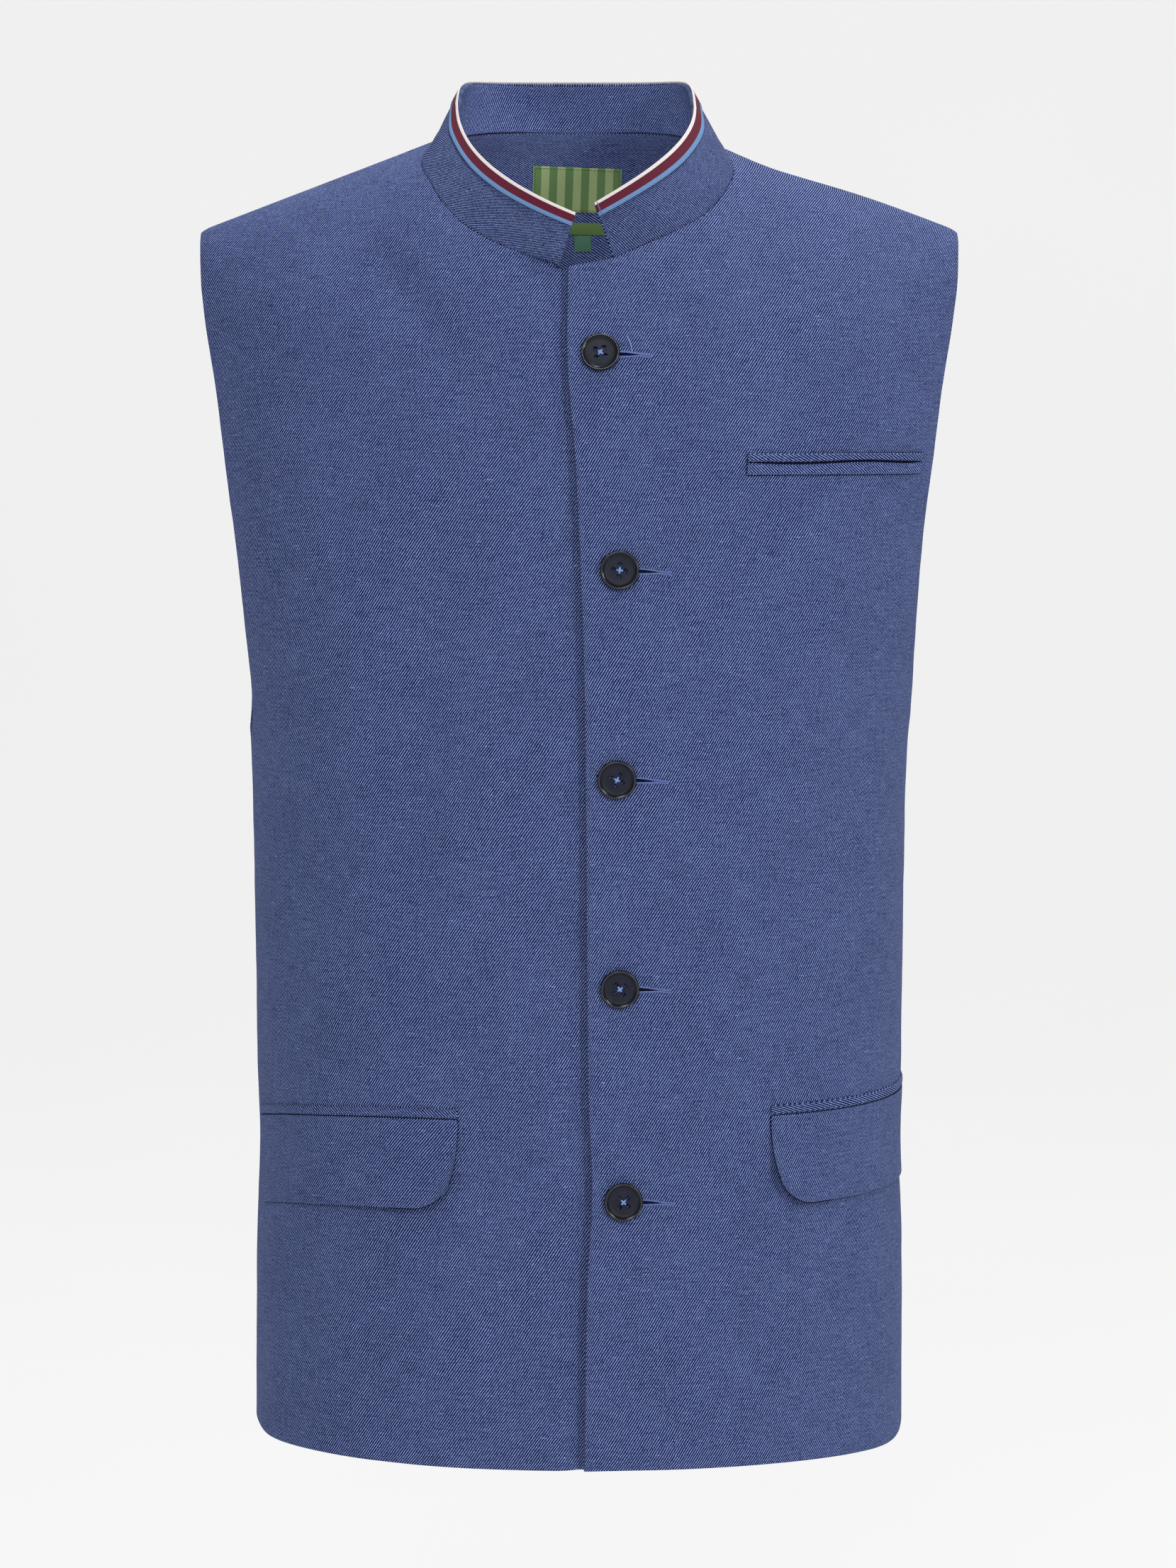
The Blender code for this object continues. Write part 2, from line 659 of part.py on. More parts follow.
def collar_tape(base, made_material):
    """Striped tape along the top of the collar's outer face."""
    height = sum((high - low).length for low, high in zip(base, collar_top())) / len(base)
    rows = collar_rows(base, 1.0 - TAPE_HEIGHT / height, 1.0, 1)
    normals = collar_normals(rows)
    inner = inset(rows, normals, -SEAM_GAP)
    outer = inset(rows, normals, -SEAM_GAP - TAPE_WALL)
    return wall("collar_tape", outer, inner, made_material)


# Pieces that lie on a panel

def seat(base, angle, z, reach):
    """Point of a piece's mesh next to a place that stands off the outer face by reach."""
    normal = skin_normal(angle, z)
    return base.find_nearest(skin(angle, z) + normal * reach)[0], normal


def ridge_angles(panel, z, start_angle, end_angle):
    """Angles where a panel's columns cross one height, strictly between two angles."""
    margin = 0.01
    low, high = min(start_angle, end_angle) + margin, max(start_angle, end_angle) - margin
    angles = []
    for column in zip(*panel.places):
        for above, below in zip(column, column[1:]):
            if above[1] >= z > below[1]:
                angle = mix(above[0], below[0], (above[1] - z) / (above[1] - below[1]))
                if low < angle < high:
                    angles.append(angle)
    return sorted(angles, reverse=start_angle > end_angle)


def patch(name, base, reach, places, lifts, thickness, made_material):
    """Piece that lies on a base piece: places are rows of angle and height, lifts one value a row."""
    away = math.copysign(1.0, reach)
    near, far = [], []
    for line, lift in zip(places, lifts):
        seats = [seat(base, angle, z, reach) for angle, z in line]
        near.append([point + normal * away * lift for point, normal in seats])
        far.append([point + normal * away * (lift + thickness) for point, normal in seats])
    return wall(name, far, near, made_material)


def chest_welts(panel, made_material):
    """Two narrow welts with the pocket's slit between them."""
    start, end = front_angle(WELT_START_X, LOWER_WELT_TOP_Z), front_angle(WELT_END_X, LOWER_WELT_TOP_Z)
    angles = [start] + ridge_angles(panel, LOWER_WELT_TOP_Z, start, end) + [end]
    for name, top, height in (("chest_welt_upper", UPPER_WELT_TOP_Z, UPPER_WELT_HEIGHT),
                              ("chest_welt_lower", LOWER_WELT_TOP_Z, LOWER_WELT_HEIGHT)):
        places = [[(angle, z) for angle in angles] for z in (top, top - height)]
        patch(name, panel.tree, PROBE, places, (SEAM_GAP, SEAM_GAP), WELT_WALL, made_material)


def flap_drop(along):
    """Height of a flap at a distance along it, with its two lower corners rounded."""
    from_end = max(0.0, min(along, FLAP_LENGTH - along))
    if from_end >= FLAP_CORNER:
        return FLAP_HEIGHT
    return FLAP_HEIGHT - FLAP_CORNER + math.sqrt(FLAP_CORNER ** 2 - (FLAP_CORNER - from_end) ** 2)


def hip_pocket(pocket, panel, made_material):
    """A jet with a flap under it."""
    start = front_angle(pocket.start_x, pocket.top_z)
    end = walk_ring(start, pocket.top_z, FLAP_LENGTH)

    def place(angle, drop):
        along = FLAP_LENGTH * (angle - start) / (end - start)
        lean = FLAP_LEAN * (drop / FLAP_HEIGHT) ** 2 * (1.0 - along / FLAP_LENGTH)
        turn = math.copysign(lean / BODY[-1].half_width, pocket.start_x)
        return angle + turn, pocket.top_z - pocket.sag * (along / FLAP_LENGTH) ** 2 - drop

    near = [mix(start, end, share * FLAP_CORNER / FLAP_LENGTH) for share in (0.0, 0.12, 0.45, 1.0)]
    far = [start + end - angle for angle in reversed(near)]
    angles = near + ridge_angles(panel, pocket.top_z, near[-1], far[0]) + far
    drops = [flap_drop(FLAP_LENGTH * (angle - start) / (end - start)) for angle in angles]
    shares = (0.0, 0.3, 0.65, 1.0)
    places = [[place(angle, share * drop) for angle, drop in zip(angles, drops)] for share in shares]
    lifts = [SEAM_GAP + FLAP_FLARE * share * share for share in shares]
    patch("flap_" + pocket.side, panel.tree, PROBE, places, lifts, FLAP_WALL, made_material)
    angles = [start] + ridge_angles(panel, pocket.top_z, start, end) + [end]
    places = [[place(angle, drop) for angle in angles] for drop in (-SEAM_GAP - JET_HEIGHT, -SEAM_GAP)]
    patch("jet_" + pocket.side, panel.tree, PROBE, places, (SEAM_GAP, SEAM_GAP), JET_WALL, made_material)


def lining_place(x, z):
    """Angle and height of a point inside the back."""
    return back_angle(x, z), z


def back_neck_facing(base, made_material):
    """Facing inside the back, from the neck seam down to a round lower edge."""
    columns, rows = 12, 4
    places = []
    for i in range(rows + 1):
        line = []
        for j in range(columns + 1):
            share = 2.0 * j / columns - 1.0
            x = -FACING_HALF_WIDTH * math.sin(share * math.pi / 2.0)
            top = back_neck_z(x) - FACING_TOP_GAP
            bottom = top - FACING_DEPTH * (0.45 + 0.55 * math.sqrt(1.0 - share * share * 0.98))
            line.append(lining_place(x, mix(top, bottom, i / rows)))
        places.append(line)
    reach = -(WALL + PROBE)
    return patch("back_neck_facing", base, reach, places, [SEAM_GAP] * (rows + 1), FACING_WALL, made_material)


def label(spec, base, made_material):
    """A plain woven label on the facing."""
    columns, rows = 5, 2
    places = []
    for i in range(rows + 1):
        z = mix(spec.top, spec.bottom, i / rows)
        places.append([lining_place(mix(spec.right, spec.left, j / columns), z) for j in range(columns + 1)])
    reach = -(WALL + SEAM_GAP + FACING_WALL + PROBE)
    patch(spec.name, base, reach, places, [SEAM_GAP] * (rows + 1), LABEL_WALL, made_material)


# Buttons

def turned(name, profile, sides):
    """Closed solid turned from a profile of radius and height, both ends on the axis."""
    mesh_tool = bmesh.new()
    first = mesh_tool.verts.new((0.0, 0.0, profile[0][1]))
    last = mesh_tool.verts.new((0.0, 0.0, profile[-1][1]))
    rings = []
    for radius, height in profile[1:-1]:
        turns = [2.0 * math.pi * i / sides for i in range(sides)]
        rings.append([mesh_tool.verts.new((radius * math.cos(turn), radius * math.sin(turn), height))
                      for turn in turns])
    for i in range(sides):
        after = (i + 1) % sides
        mesh_tool.faces.new((first, rings[0][i], rings[0][after]))
        mesh_tool.faces.new((last, rings[-1][after], rings[-1][i]))
        for inner, outer in zip(rings, rings[1:]):
            mesh_tool.faces.new((inner[i], outer[i], outer[after], inner[after]))
    bmesh.ops.recalc_face_normals(mesh_tool, faces=mesh_tool.faces)
    mesh = bpy.data.meshes.new(name)
    mesh_tool.to_mesh(mesh)
    mesh_tool.free()
    return bpy.data.objects.new(name, mesh)


def button_mesh(made_material):
    """A round button with a raised rim, a dished middle and four holes through it."""
    rim = BUTTON_RADIUS
    top = BUTTON_THICKNESS
    profile = ((0.0, 0.60 * top), (0.42 * rim, 0.64 * top), (0.70 * rim, 0.80 * top), (0.76 * rim, top),
               (0.90 * rim, top), (rim, 0.72 * top), (rim, 0.40 * top), (0.80 * rim, 0.0), (0.0, 0.0))
    blank = turned("button_blank", profile, BUTTON_SIDES)
    cutters = bmesh.new()
    for i in range(4):
        turn = math.pi / 4.0 + i * math.pi / 2.0
        reach = BUTTON_HOLE_OFFSET * math.sqrt(2.0)
        place = Matrix.Translation((reach * math.cos(turn), reach * math.sin(turn), 0.5 * top))
        bmesh.ops.create_cone(cutters, cap_ends=True, segments=HOLE_SIDES, radius1=BUTTON_HOLE_RADIUS,
                              radius2=BUTTON_HOLE_RADIUS, depth=3.0 * top, matrix=place)
    drill_mesh = bpy.data.meshes.new("button_drill")
    cutters.to_mesh(drill_mesh)
    cutters.free()
    drill = bpy.data.objects.new("button_drill", drill_mesh)
    for thing in (blank, drill):
        bpy.context.scene.collection.objects.link(thing)
    cut = blank.modifiers.new("holes", "BOOLEAN")
    cut.object = drill
    cut.operation = "DIFFERENCE"
    graph = bpy.context.evaluated_depsgraph_get()
    mesh = bpy.data.meshes.new_from_object(blank.evaluated_get(graph))
    for thing in (blank, drill):
        bpy.data.objects.remove(thing)
    mesh.shade_smooth()
    mesh.set_sharp_from_angle(angle=math.radians(35.0))
    mesh.materials.clear()
    mesh.materials.append(made_material)
    return mesh


def buttons(base, made_material):
    """Five buttons on the upper front, each square to the cloth under it."""
    mesh = button_mesh(made_material)
    for number, place in enumerate(BUTTONS, start=1):
        angle = front_angle(place.x, place.z)
        point, normal = seat(base, angle, place.z, PROBE)
        thing = bpy.data.objects.new("button_%d" % number, mesh)
        thing.location = point + normal * SEAM_GAP
        facing = normal.to_track_quat("Z", "Y")
        thing.rotation_euler = (facing.to_matrix() @ Matrix.Rotation(BUTTON_TURN, 3, "Z")).to_euler()
        bpy.context.scene.collection.objects.link(thing)


def main():
    for thing in list(bpy.data.objects):
        bpy.data.objects.remove(thing)
    right = front(-1, material("cloth_right", (0.085, 0.115, 0.330), 0.85))
    left = front(1, material("cloth_left", (0.085, 0.115, 0.330), 0.85))
    rear = back(material("cloth_back", (0.085, 0.115, 0.330), 0.85))
    seam = collar_base(right, rear, left)
    collar(seam, material("cloth_collar", (0.080, 0.110, 0.315), 0.85))
    collar_tape(seam, material("tape", (0.160, 0.030, 0.055), 0.80))
    facing = tree_of(back_neck_facing(rear.tree, material("cloth_facing", (0.070, 0.095, 0.280), 0.88)))
    chest_welts(left, material("cloth_welts", (0.085, 0.115, 0.330), 0.85))
    for pocket in POCKETS:
        panel = left if pocket.side == "left" else right
        hip_pocket(pocket, panel, material("cloth_pocket_" + pocket.side, (0.085, 0.115, 0.330), 0.85))
    colours = {"neck_label": (0.250, 0.380, 0.160), "fit_tab": (0.090, 0.170, 0.045),
               "size_tab": (0.080, 0.230, 0.150)}
    for spec in LABELS:
        label(spec, facing, material(spec.name, colours[spec.name], 0.75))
    buttons(left.tree, material("button", (0.012, 0.013, 0.022), 0.30))


main()
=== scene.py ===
"""Looks of a men's band-collared waistcoat in blue linen-blend twill, size M.

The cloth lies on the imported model's form: the same rings, folds, neckline and pockets are made
here with a finer mesh. The creases, the shoulder tips, the hem at the side seams, the step under
the front edge, the flaps, the jets and the holes of the buttons are a little finer than the solids'.
The front faces -Y and the wearer's left is +X.
"""

from collections import namedtuple
from math import acos, asin, copysign, cos, degrees, exp, pi, radians, sin, sqrt

import bmesh
import bpy
from mathutils import Matrix, Vector, noise


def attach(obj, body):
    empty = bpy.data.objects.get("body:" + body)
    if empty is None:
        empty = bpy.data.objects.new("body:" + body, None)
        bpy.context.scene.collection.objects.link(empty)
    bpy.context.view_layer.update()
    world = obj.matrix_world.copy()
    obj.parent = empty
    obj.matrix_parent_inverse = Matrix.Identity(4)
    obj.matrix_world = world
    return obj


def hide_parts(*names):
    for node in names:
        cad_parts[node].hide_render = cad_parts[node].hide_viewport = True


def table_of(columns, *rows):
    """A short table whose columns have names."""
    row_kind = namedtuple("Row", columns)
    return tuple(row_kind(*row) for row in rows)


# Cloth and seams
WALL = 0.0020
COLLAR_WALL = 0.0022
SEAM_GAP = 0.0003
SEWN = -0.0002
RIM_REACH = 0.0006
RIM_TURNS = (radians(35.0), radians(90.0), radians(145.0))

# Threads: their radii, how they thin at the ends, and their twist
SEWING_THREAD = 0.00021
LIP_THREAD = 0.00036
STRAY_THREAD = 0.00024
TAPE_THREAD = 0.00016
LABEL_THREAD = 0.00014
THREAD_TAPER = 0.55
TWIST_SCALE = 600.0

# Heights of the body
ARMHOLE_TURN_Z = -0.200
UNDERARM_Z = -0.320
HEM_Z = -0.6985
HEM_WAVES = table_of(
    "angle half_angle drop",
    (85.0, 30.0, 0.0035),
    (-60.0, 35.0, -0.0014),
    (91.0, 13.0, -0.0080),
    (-91.0, 13.0, -0.0070))

# Shoulder line, seen from the front
NECK_POINT_X = 0.078
NECK_POINT_Z = -0.0017
SHOULDER_SLOPE = 0.380
SHOULDER_TIP_X = 0.2033
SHOULDER_ROUND_X = 0.196
SHOULDER_ROUND_DROP = 0.0012
LEFT_SHOULDER_DIP = 0.0048
LEFT_SHOULDER_DIP_X = 0.096
LEFT_SHOULDER_DIP_HALF_WIDTH = 0.043

# Fall of the cloth from the shoulder to its full depth
FRONT_CREST_RISE = 0.015
FRONT_FALL_CENTRE = 0.300
FRONT_FALL_TIP = 0.200
BACK_CREST_RISE = 0.055
BACK_FALL = 0.160

# Plan of the body
RING_POWER = 2.2
ARMHOLE_ANGLE = radians(70.0)
SEAM_SHIFT = radians(7.0)
LEFT_SEAM_ANGLE = radians(90.0) + SEAM_SHIFT
RIGHT_SEAM_ANGLE = -radians(90.0) + SEAM_SHIFT

# The body's rings from the shoulders to the hem
BODY = table_of(
    "z half_width front_depth back_depth",
    (-0.056, 0.2163, 0.128, 0.112),
    (-0.083, 0.2143, 0.129, 0.114),
    (-0.140, 0.2047, 0.130, 0.116),
    (-0.220, 0.1933, 0.131, 0.115),
    (-0.260, 0.1872, 0.131, 0.112),
    (-0.320, 0.1782, 0.129, 0.107),
    (-0.430, 0.1758, 0.124, 0.100),
    (-0.500, 0.1752, 0.122, 0.102),
    (-0.540, 0.1741, 0.122, 0.105),
    (-0.600, 0.1760, 0.124, 0.109),
    (-0.700, 0.1767, 0.126, 0.115))

# Main folds, which the solids have too: middle, half sizes, depth, lean in degrees
FOLD_COLUMNS = "x z half_length half_width depth lean"
FRONT_FOLDS = table_of(
    FOLD_COLUMNS,
    (-0.088, -0.095, 0.075, 0.020, 0.0028, -38.0),
    (-0.086, -0.325, 0.090, 0.024, 0.0030, 8.0),
    (-0.128, -0.440, 0.080, 0.018, 0.0018, -6.0),
    (0.077, -0.320, 0.100, 0.022, 0.0020, -4.0),
    (0.040, -0.510, 0.055, 0.014, 0.0020, 3.0),
    (0.140, -0.110, 0.050, 0.024, -0.0015, 20.0))
BACK_FOLDS = table_of(
    FOLD_COLUMNS,
    (-0.070, -0.330, 0.120, 0.024, 0.0035, 5.0),
    (0.055, -0.370, 0.100, 0.022, 0.0030, -6.0),
    (0.105, -0.250, 0.070, 0.018, 0.0022, -14.0),
    (-0.010, -0.560, 0.080, 0.026, 0.0020, 2.0))

# Small folds, which only the cloth has
FRONT_CREASES = table_of(
    FOLD_COLUMNS,
    (0.034, -0.500, 0.030, 0.0045, 0.0011, 4.0),
    (0.026, -0.512, 0.022, 0.0035, 0.0008, 1.0),
    (-0.081, -0.303, 0.105, 0.014, 0.0020, 4.3),
    (-0.091, -0.083, 0.045, 0.010, 0.0019, -42.0),
    (-0.152, -0.470, 0.070, 0.013, 0.0020, 2.0),
    (-0.148, -0.620, 0.050, 0.012, 0.0012, -4.0),
    (0.050, -0.290, 0.045, 0.010, 0.0006, -10.0),
    (-0.120, -0.070, 0.040, 0.009, 0.0007, -48.0),
    (-0.060, -0.205, 0.060, 0.012, 0.0006, -20.0),
    (-0.100, -0.300, 0.050, 0.008, 0.0006, 12.0),
    (0.120, -0.395, 0.050, 0.010, 0.0006, 10.0),
    (-0.150, -0.380, 0.045, 0.008, 0.0007, -16.0),
    (0.150, -0.330, 0.040, 0.008, 0.0006, 18.0),
    (0.140, -0.569, 0.007, 0.018, 0.0010, 10.0),
    (-0.110, -0.640, 0.050, 0.012, 0.0006, -5.0),
    (0.085, -0.640, 0.045, 0.012, 0.0006, 8.0))
BACK_CREASES = table_of(
    FOLD_COLUMNS,
    (0.000, -0.095, 0.030, 0.040, 0.0009, 90.0),
    (-0.110, -0.270, 0.060, 0.010, 0.0008, 14.0),
    (0.020, -0.300, 0.070, 0.010, 0.0007, -4.0),
    (-0.035, -0.430, 0.060, 0.009, 0.0008, 6.0),
    (0.095, -0.470, 0.050, 0.010, 0.0007, -9.0),
    (-0.120, -0.560, 0.050, 0.012, 0.0006, -6.0),
    (0.060, -0.620, 0.045, 0.011, 0.0006, 4.0))
UNEVEN_DEPTH = 0.00045
UNEVEN_SCALE = 26.0
DIMPLE_DEPTH = 0.0006
DIMPLE_RADIUS = 0.015

# Neckline, seen from the front, from the collar's end up to the side of the neck
NECKLINE_RIGHT = table_of(
    "x z",
    (-0.0101, -0.0709), (-0.0337, -0.0625), (-0.0520, -0.0537),
    (-0.0678, -0.0411), (-0.0787, -0.0249), (-0.0833, -0.0145))
NECKLINE_LEFT = table_of(
    "x z",
    (0.0177, -0.0664), (0.0349, -0.0588), (0.0542, -0.0497),
    (0.0678, -0.0411), (0.0780, -0.0285), (0.0819, -0.0178))
NECKLINE_PATH_STEPS = 24
RIGHT_EDGE_TOP_Z = -0.0700
LEFT_EDGE_TOP_Z = -0.0713
NECKLINE_BACK_RISE = 0.0091

# The upper front's edge, and how far the under front reaches past it
FRONT_EDGE = table_of(
    "z x",
    (-0.071, -0.0060),
    (-0.122, -0.0062),
    (-0.175, -0.0020),
    (-0.285, 0.0025),
    (-0.500, 0.0045),
    (-0.550, 0.0065),
    (-0.600, 0.0040),
    (-0.698, 0.0026))
UNDERLAP = 0.038
UNDERLAP_STEP_START = 0.015
UNDERLAP_STEP_END = 0.003
FACING_REACH = 0.072
EDGE_LIFT = 0.0015
EDGE_LIFT_WIDTH = 0.011
EDGE_GROOVE = 0.0013
EDGE_GROOVE_PLACE = 0.0015
EDGE_GROOVE_WIDTH = 0.0035

# Band collar's top ring: each side's front end, its height at the side, and how it sags between
COLLAR_TOP_RIGHT, COLLAR_TOP_LEFT = table_of(
    "side end_x end_z side_z sag",
    (-1, -0.0017, -0.0434, 0.0190, 0.34),
    (1, 0.0080, -0.0382, 0.0165, 0.05))
COLLAR_TOP_CENTRE_X = -0.0018
COLLAR_TOP_HALF_WIDTH = 0.0630
COLLAR_TOP_FRONT = 0.0800
COLLAR_TOP_BACK = 0.0600
COLLAR_TOP_BACK_POWER = 3.4
COLLAR_TOP_BACK_Z = 0.0330
COLLAR_TOP_BACK_RISE_POWER = 7
COLLAR_BULGE = 0.0012
COLLAR_SWAY = 0.0003
COLLAR_CUT_TURN = radians(51.0)
TAPE_HEIGHT = 0.0082
TAPE_WALL = 0.0009
TAPE_STRIPES = (0.0023, 0.0065)
TAPE_TURN_UNDER = 0.0017
TAPE_GAP = 0.0001
TAPE_TOP_LIFT = 0.0005
TAPE_REACH = 0.0004

# Chest pocket on the left front
WELT_START_X = 0.0866
WELT_END_X = 0.1805
UPPER_WELT_TOP_Z = -0.1675
UPPER_WELT_HEIGHT = 0.0045
LOWER_WELT_TOP_Z = -0.1728
LOWER_WELT_HEIGHT = 0.0062
WELT_WALL = 0.0010
WELT_SAG = 0.0007
WELT_CLOSING = 0.00038

# Hip pockets: where each starts, and how much lower its side end lies
POCKETS = table_of(
    "side start_x top_z sag",
    ("right", -0.0629, -0.5142, 0.0110),
    ("left", 0.1004, -0.5138, -0.0040))
FLAP_LENGTH = 0.150
FLAP_HEIGHT = 0.0478
FLAP_CORNER = 0.0160
FLAP_LEAN = 0.0075
FLAP_WALL = 0.0009
FLAP_FLARE = 0.0055
JET_HEIGHT = 0.0052
JET_WALL = 0.0007

# Back neck facing and labels, which lie on it
FACING_HALF_WIDTH = 0.0740
FACING_DEPTH = 0.0800
FACING_WALL = 0.0010
FACING_GAP = 0.0002
FACING_RISE = 0.0006
LABELS = table_of(
    "name left right top bottom tilt",
    ("neck_label", -0.0268, 0.0240, -0.0100, -0.0347, -2.0),
    ("fit_tab", -0.0170, 0.0170, -0.0405, -0.0474, -1.0),
    ("size_tab", -0.0030, 0.0068, -0.0477, -0.0566, 0.0))
LABEL_GAP = 0.0001
LABEL_WALL = 0.0005
LABEL_PUFF = 0.0006
LABEL_BAR_PITCH = 0.0092
LABEL_STITCH = 0.0019
LABEL_STITCH_INSET = 0.0011

# Buttons, 32 ligne
BUTTON_RADIUS = 0.01015
BUTTON_THICKNESS = 0.0034
BUTTON_HOLE_RADIUS = 0.0012
BUTTON_HOLE_OFFSET = 0.0022
BUTTON_LIP_HEIGHT = 0.572
BUTTONS = table_of(
    "x z turn",
    (0.0112, -0.1158, 10.0),
    (0.0210, -0.2274, 38.0),
    (0.0196, -0.3354, 20.0),
    (0.0212, -0.4448, -8.0),
    (0.0231, -0.5568, 3.0))
BUTTONHOLE_END = 0.0262
BUTTONHOLE_START = 0.0050
BUTTONHOLE_OPENING = 0.0019
BUTTONHOLE_RISE = 0.0004
BUTTONHOLE_DROOP = 0.00125
BUTTONHOLE_STITCH = 0.00058

# Mesh density
LEFT_EDGE_COLUMNS = 6
RIGHT_EDGE_COLUMNS = 8
NECK_COLUMNS = 40
SHOULDER_COLUMNS = 40
BACK_NECK_COLUMNS = 60
NECK_CORNER_ROWS = 3
NECK_CORNER_COLUMNS = 7
ARMHOLE_ROWS = 110
LOWER_ROWS = 120
COLLAR_ROWS = 16
TAPE_ROWS = 6
WELT_COLUMNS = 90
WELT_ROWS = 8
FLAP_COLUMNS = 56
FLAP_CORNER_COLUMNS = 14
FLAP_ROWS = 24
JET_COLUMNS = 90
JET_ROWS = 8
FACING_COLUMNS = 60
FACING_ROWS = 40
LABEL_COLUMNS = 40
LABEL_ROWS = 20
BUTTON_SIDES = 72
HOLE_SIDES = 24
LIP_SIDES = 28
LIP_ROLLS = 8
FLAT_ANGLES = 110
FLAT_HEIGHTS = 130

# Reach of the table of distances over the fronts
FLAT_HALF_ANGLE = radians(105.0)
FLAT_TOP_Z = 0.016
FLAT_BOTTOM_Z = -0.704


# Small helpers

def clamp(value, low, high):
    return max(low, min(high, value))


def mix(a, b, share):
    return a + (b - a) * share


def smooth_step(low, high, value):
    share = clamp((value - low) / (high - low), 0.0, 1.0)
    return share * share * (3.0 - 2.0 * share)


def spread(low, high, count):
    return [mix(low, high, i / count) for i in range(count + 1)]


def along_table(table, z, column):
    """Value of a column at a height, on a smooth curve through the table's rows, top row first."""
    if z >= table[0].z:
        return getattr(table[0], column)
    if z <= table[-1].z:
        return getattr(table[-1], column)
    last = len(table) - 1
    row = next(i for i in range(last) if table[i].z >= z >= table[i + 1].z)

    def slope(i):
        before, after = table[max(i - 1, 0)], table[min(i + 1, last)]
        return (getattr(after, column) - getattr(before, column)) / (after.z - before.z)

    start, end = table[row], table[row + 1]
    span = end.z - start.z
    share = (z - start.z) / span
    from_start = (1.0 + 2.0 * share) * (1.0 - share) ** 2 * getattr(start, column)
    from_end = share * share * (3.0 - 2.0 * share) * getattr(end, column)
    lean_start = share * (1.0 - share) ** 2 * span * slope(row)
    lean_end = share * share * (share - 1.0) * span * slope(row + 1)
    return from_start + from_end + lean_start + lean_end


# The garment's form

def left_dip(x):
    """How far the wearer's left shoulder hangs below the right one, near the collar."""
    share = (x - LEFT_SHOULDER_DIP_X) / LEFT_SHOULDER_DIP_HALF_WIDTH
    return LEFT_SHOULDER_DIP * exp(-share * share)


def shoulder_z(x):
    """Height of the shoulder line over the plane of the shoulder seams."""
    across = abs(x)
    z = NECK_POINT_Z - SHOULDER_SLOPE * (across - NECK_POINT_X)
    if across > SHOULDER_ROUND_X:
        share = (across - SHOULDER_ROUND_X) / (SHOULDER_TIP_X - SHOULDER_ROUND_X)
        z -= SHOULDER_ROUND_DROP * share ** 3
    return z - left_dip(x)


def crest_z(x, rise):
    """Height at which the cloth would cross the plane of the shoulder seams."""
    share = abs(x) / NECK_POINT_X
    if share >= 1.0:
        return shoulder_z(x)
    return NECK_POINT_Z + rise * (1.0 - share * share) - left_dip(x)


def hem_z(angle):
    """Height of the hem, which hangs lower at the wearer's left side."""
    drops = 0.0
    for wave in HEM_WAVES:
        away = (degrees(angle) - wave.angle + 180.0) % 360.0 - 180.0
        drops += wave.drop * exp(-(away / wave.half_angle) ** 2)
    return HEM_Z - drops


def fold_depth(folds, x, z):
    """How far the folds of one side press the cloth in."""
    total = 0.0
    for fold in folds:
        lean = radians(fold.lean)
        along = (x - fold.x) * sin(lean) + (z - fold.z) * cos(lean)
        across = (x - fold.x) * cos(lean) - (z - fold.z) * sin(lean)
        distance = (along / fold.half_length) ** 2 + (across / fold.half_width) ** 2
        if distance < 9.0:
            total += fold.depth * exp(-distance)
    return total


def skin(angle, z):
    """Outer face of the cloth. The angle runs from the centre front towards the wearer's left."""
    x = along_table(BODY, z, "half_width") * sin(angle)
    round_share = max(0.0, 1.0 - abs(sin(angle)) ** RING_POWER) ** (1.0 / RING_POWER)
    if cos(angle) > 0.0:
        fall = mix(FRONT_FALL_CENTRE, FRONT_FALL_TIP, clamp(abs(x) / SHOULDER_TIP_X, 0.0, 1.0))
        below = clamp((crest_z(x, FRONT_CREST_RISE) - z) / fall, 0.0, 1.0)
        depth = along_table(BODY, z, "front_depth") - fold_depth(FRONT_FOLDS, x, z)
        y = -depth * round_share * sqrt(1.0 - (1.0 - below) ** 2)
    else:
        below = clamp((crest_z(x, BACK_CREST_RISE) - z) / BACK_FALL, 0.0, 1.0)
        depth = along_table(BODY, z, "back_depth") - fold_depth(BACK_FOLDS, x, z)
        y = depth * round_share * sqrt(1.0 - (1.0 - below) ** 2)
    return Vector((x, y, z))


def relief(point):
    """Small unevenness of the cloth, outwards, from its place on the body."""
    in_front = point.y < 0.0
    rise = UNEVEN_DEPTH * noise.noise(point * UNEVEN_SCALE)
    rise += 0.4 * UNEVEN_DEPTH * noise.noise(point * UNEVEN_SCALE * 3.1 + Vector((5.0, 3.0, 1.0)))
    rise -= fold_depth(FRONT_CREASES if in_front else BACK_CREASES, point.x, point.z)
    if in_front:
        for button in BUTTONS:
            gone = ((point.x - button.x) ** 2 + (point.z - button.z) ** 2) / DIMPLE_RADIUS ** 2
            if gone < 9.0:
                rise -= DIMPLE_DEPTH * exp(-gone)
    return rise * smooth_step(0.0, 0.012, abs(point.y))


def skin_normal(angle, z):
    """Direction out of the cloth, away from the shoulder seam."""
    step_angle, step_z = 0.002, 0.0005
    across = skin(angle + step_angle, z) - skin(angle - step_angle, z)
    down = skin(angle, z - step_z) - skin(angle, z + step_z)
    return down.cross(across).normalized()


def front_angle(x, z):
    return asin(clamp(x / along_table(BODY, z, "half_width"), -1.0, 1.0))


def back_angle(x, z):
    return pi - front_angle(x, z)


def walk_ring(angle, z, length):
    """Angle reached by going a given length round the ring at one height, towards the side."""
    step = 0.0005
    direction = 1.0 if angle > 0.0 else -1.0
    here, gone = skin(angle, z), 0.0
    while gone < length:
        angle += direction * step
        there = skin(angle, z)
        gone += (there - here).length
        here = there
    return angle


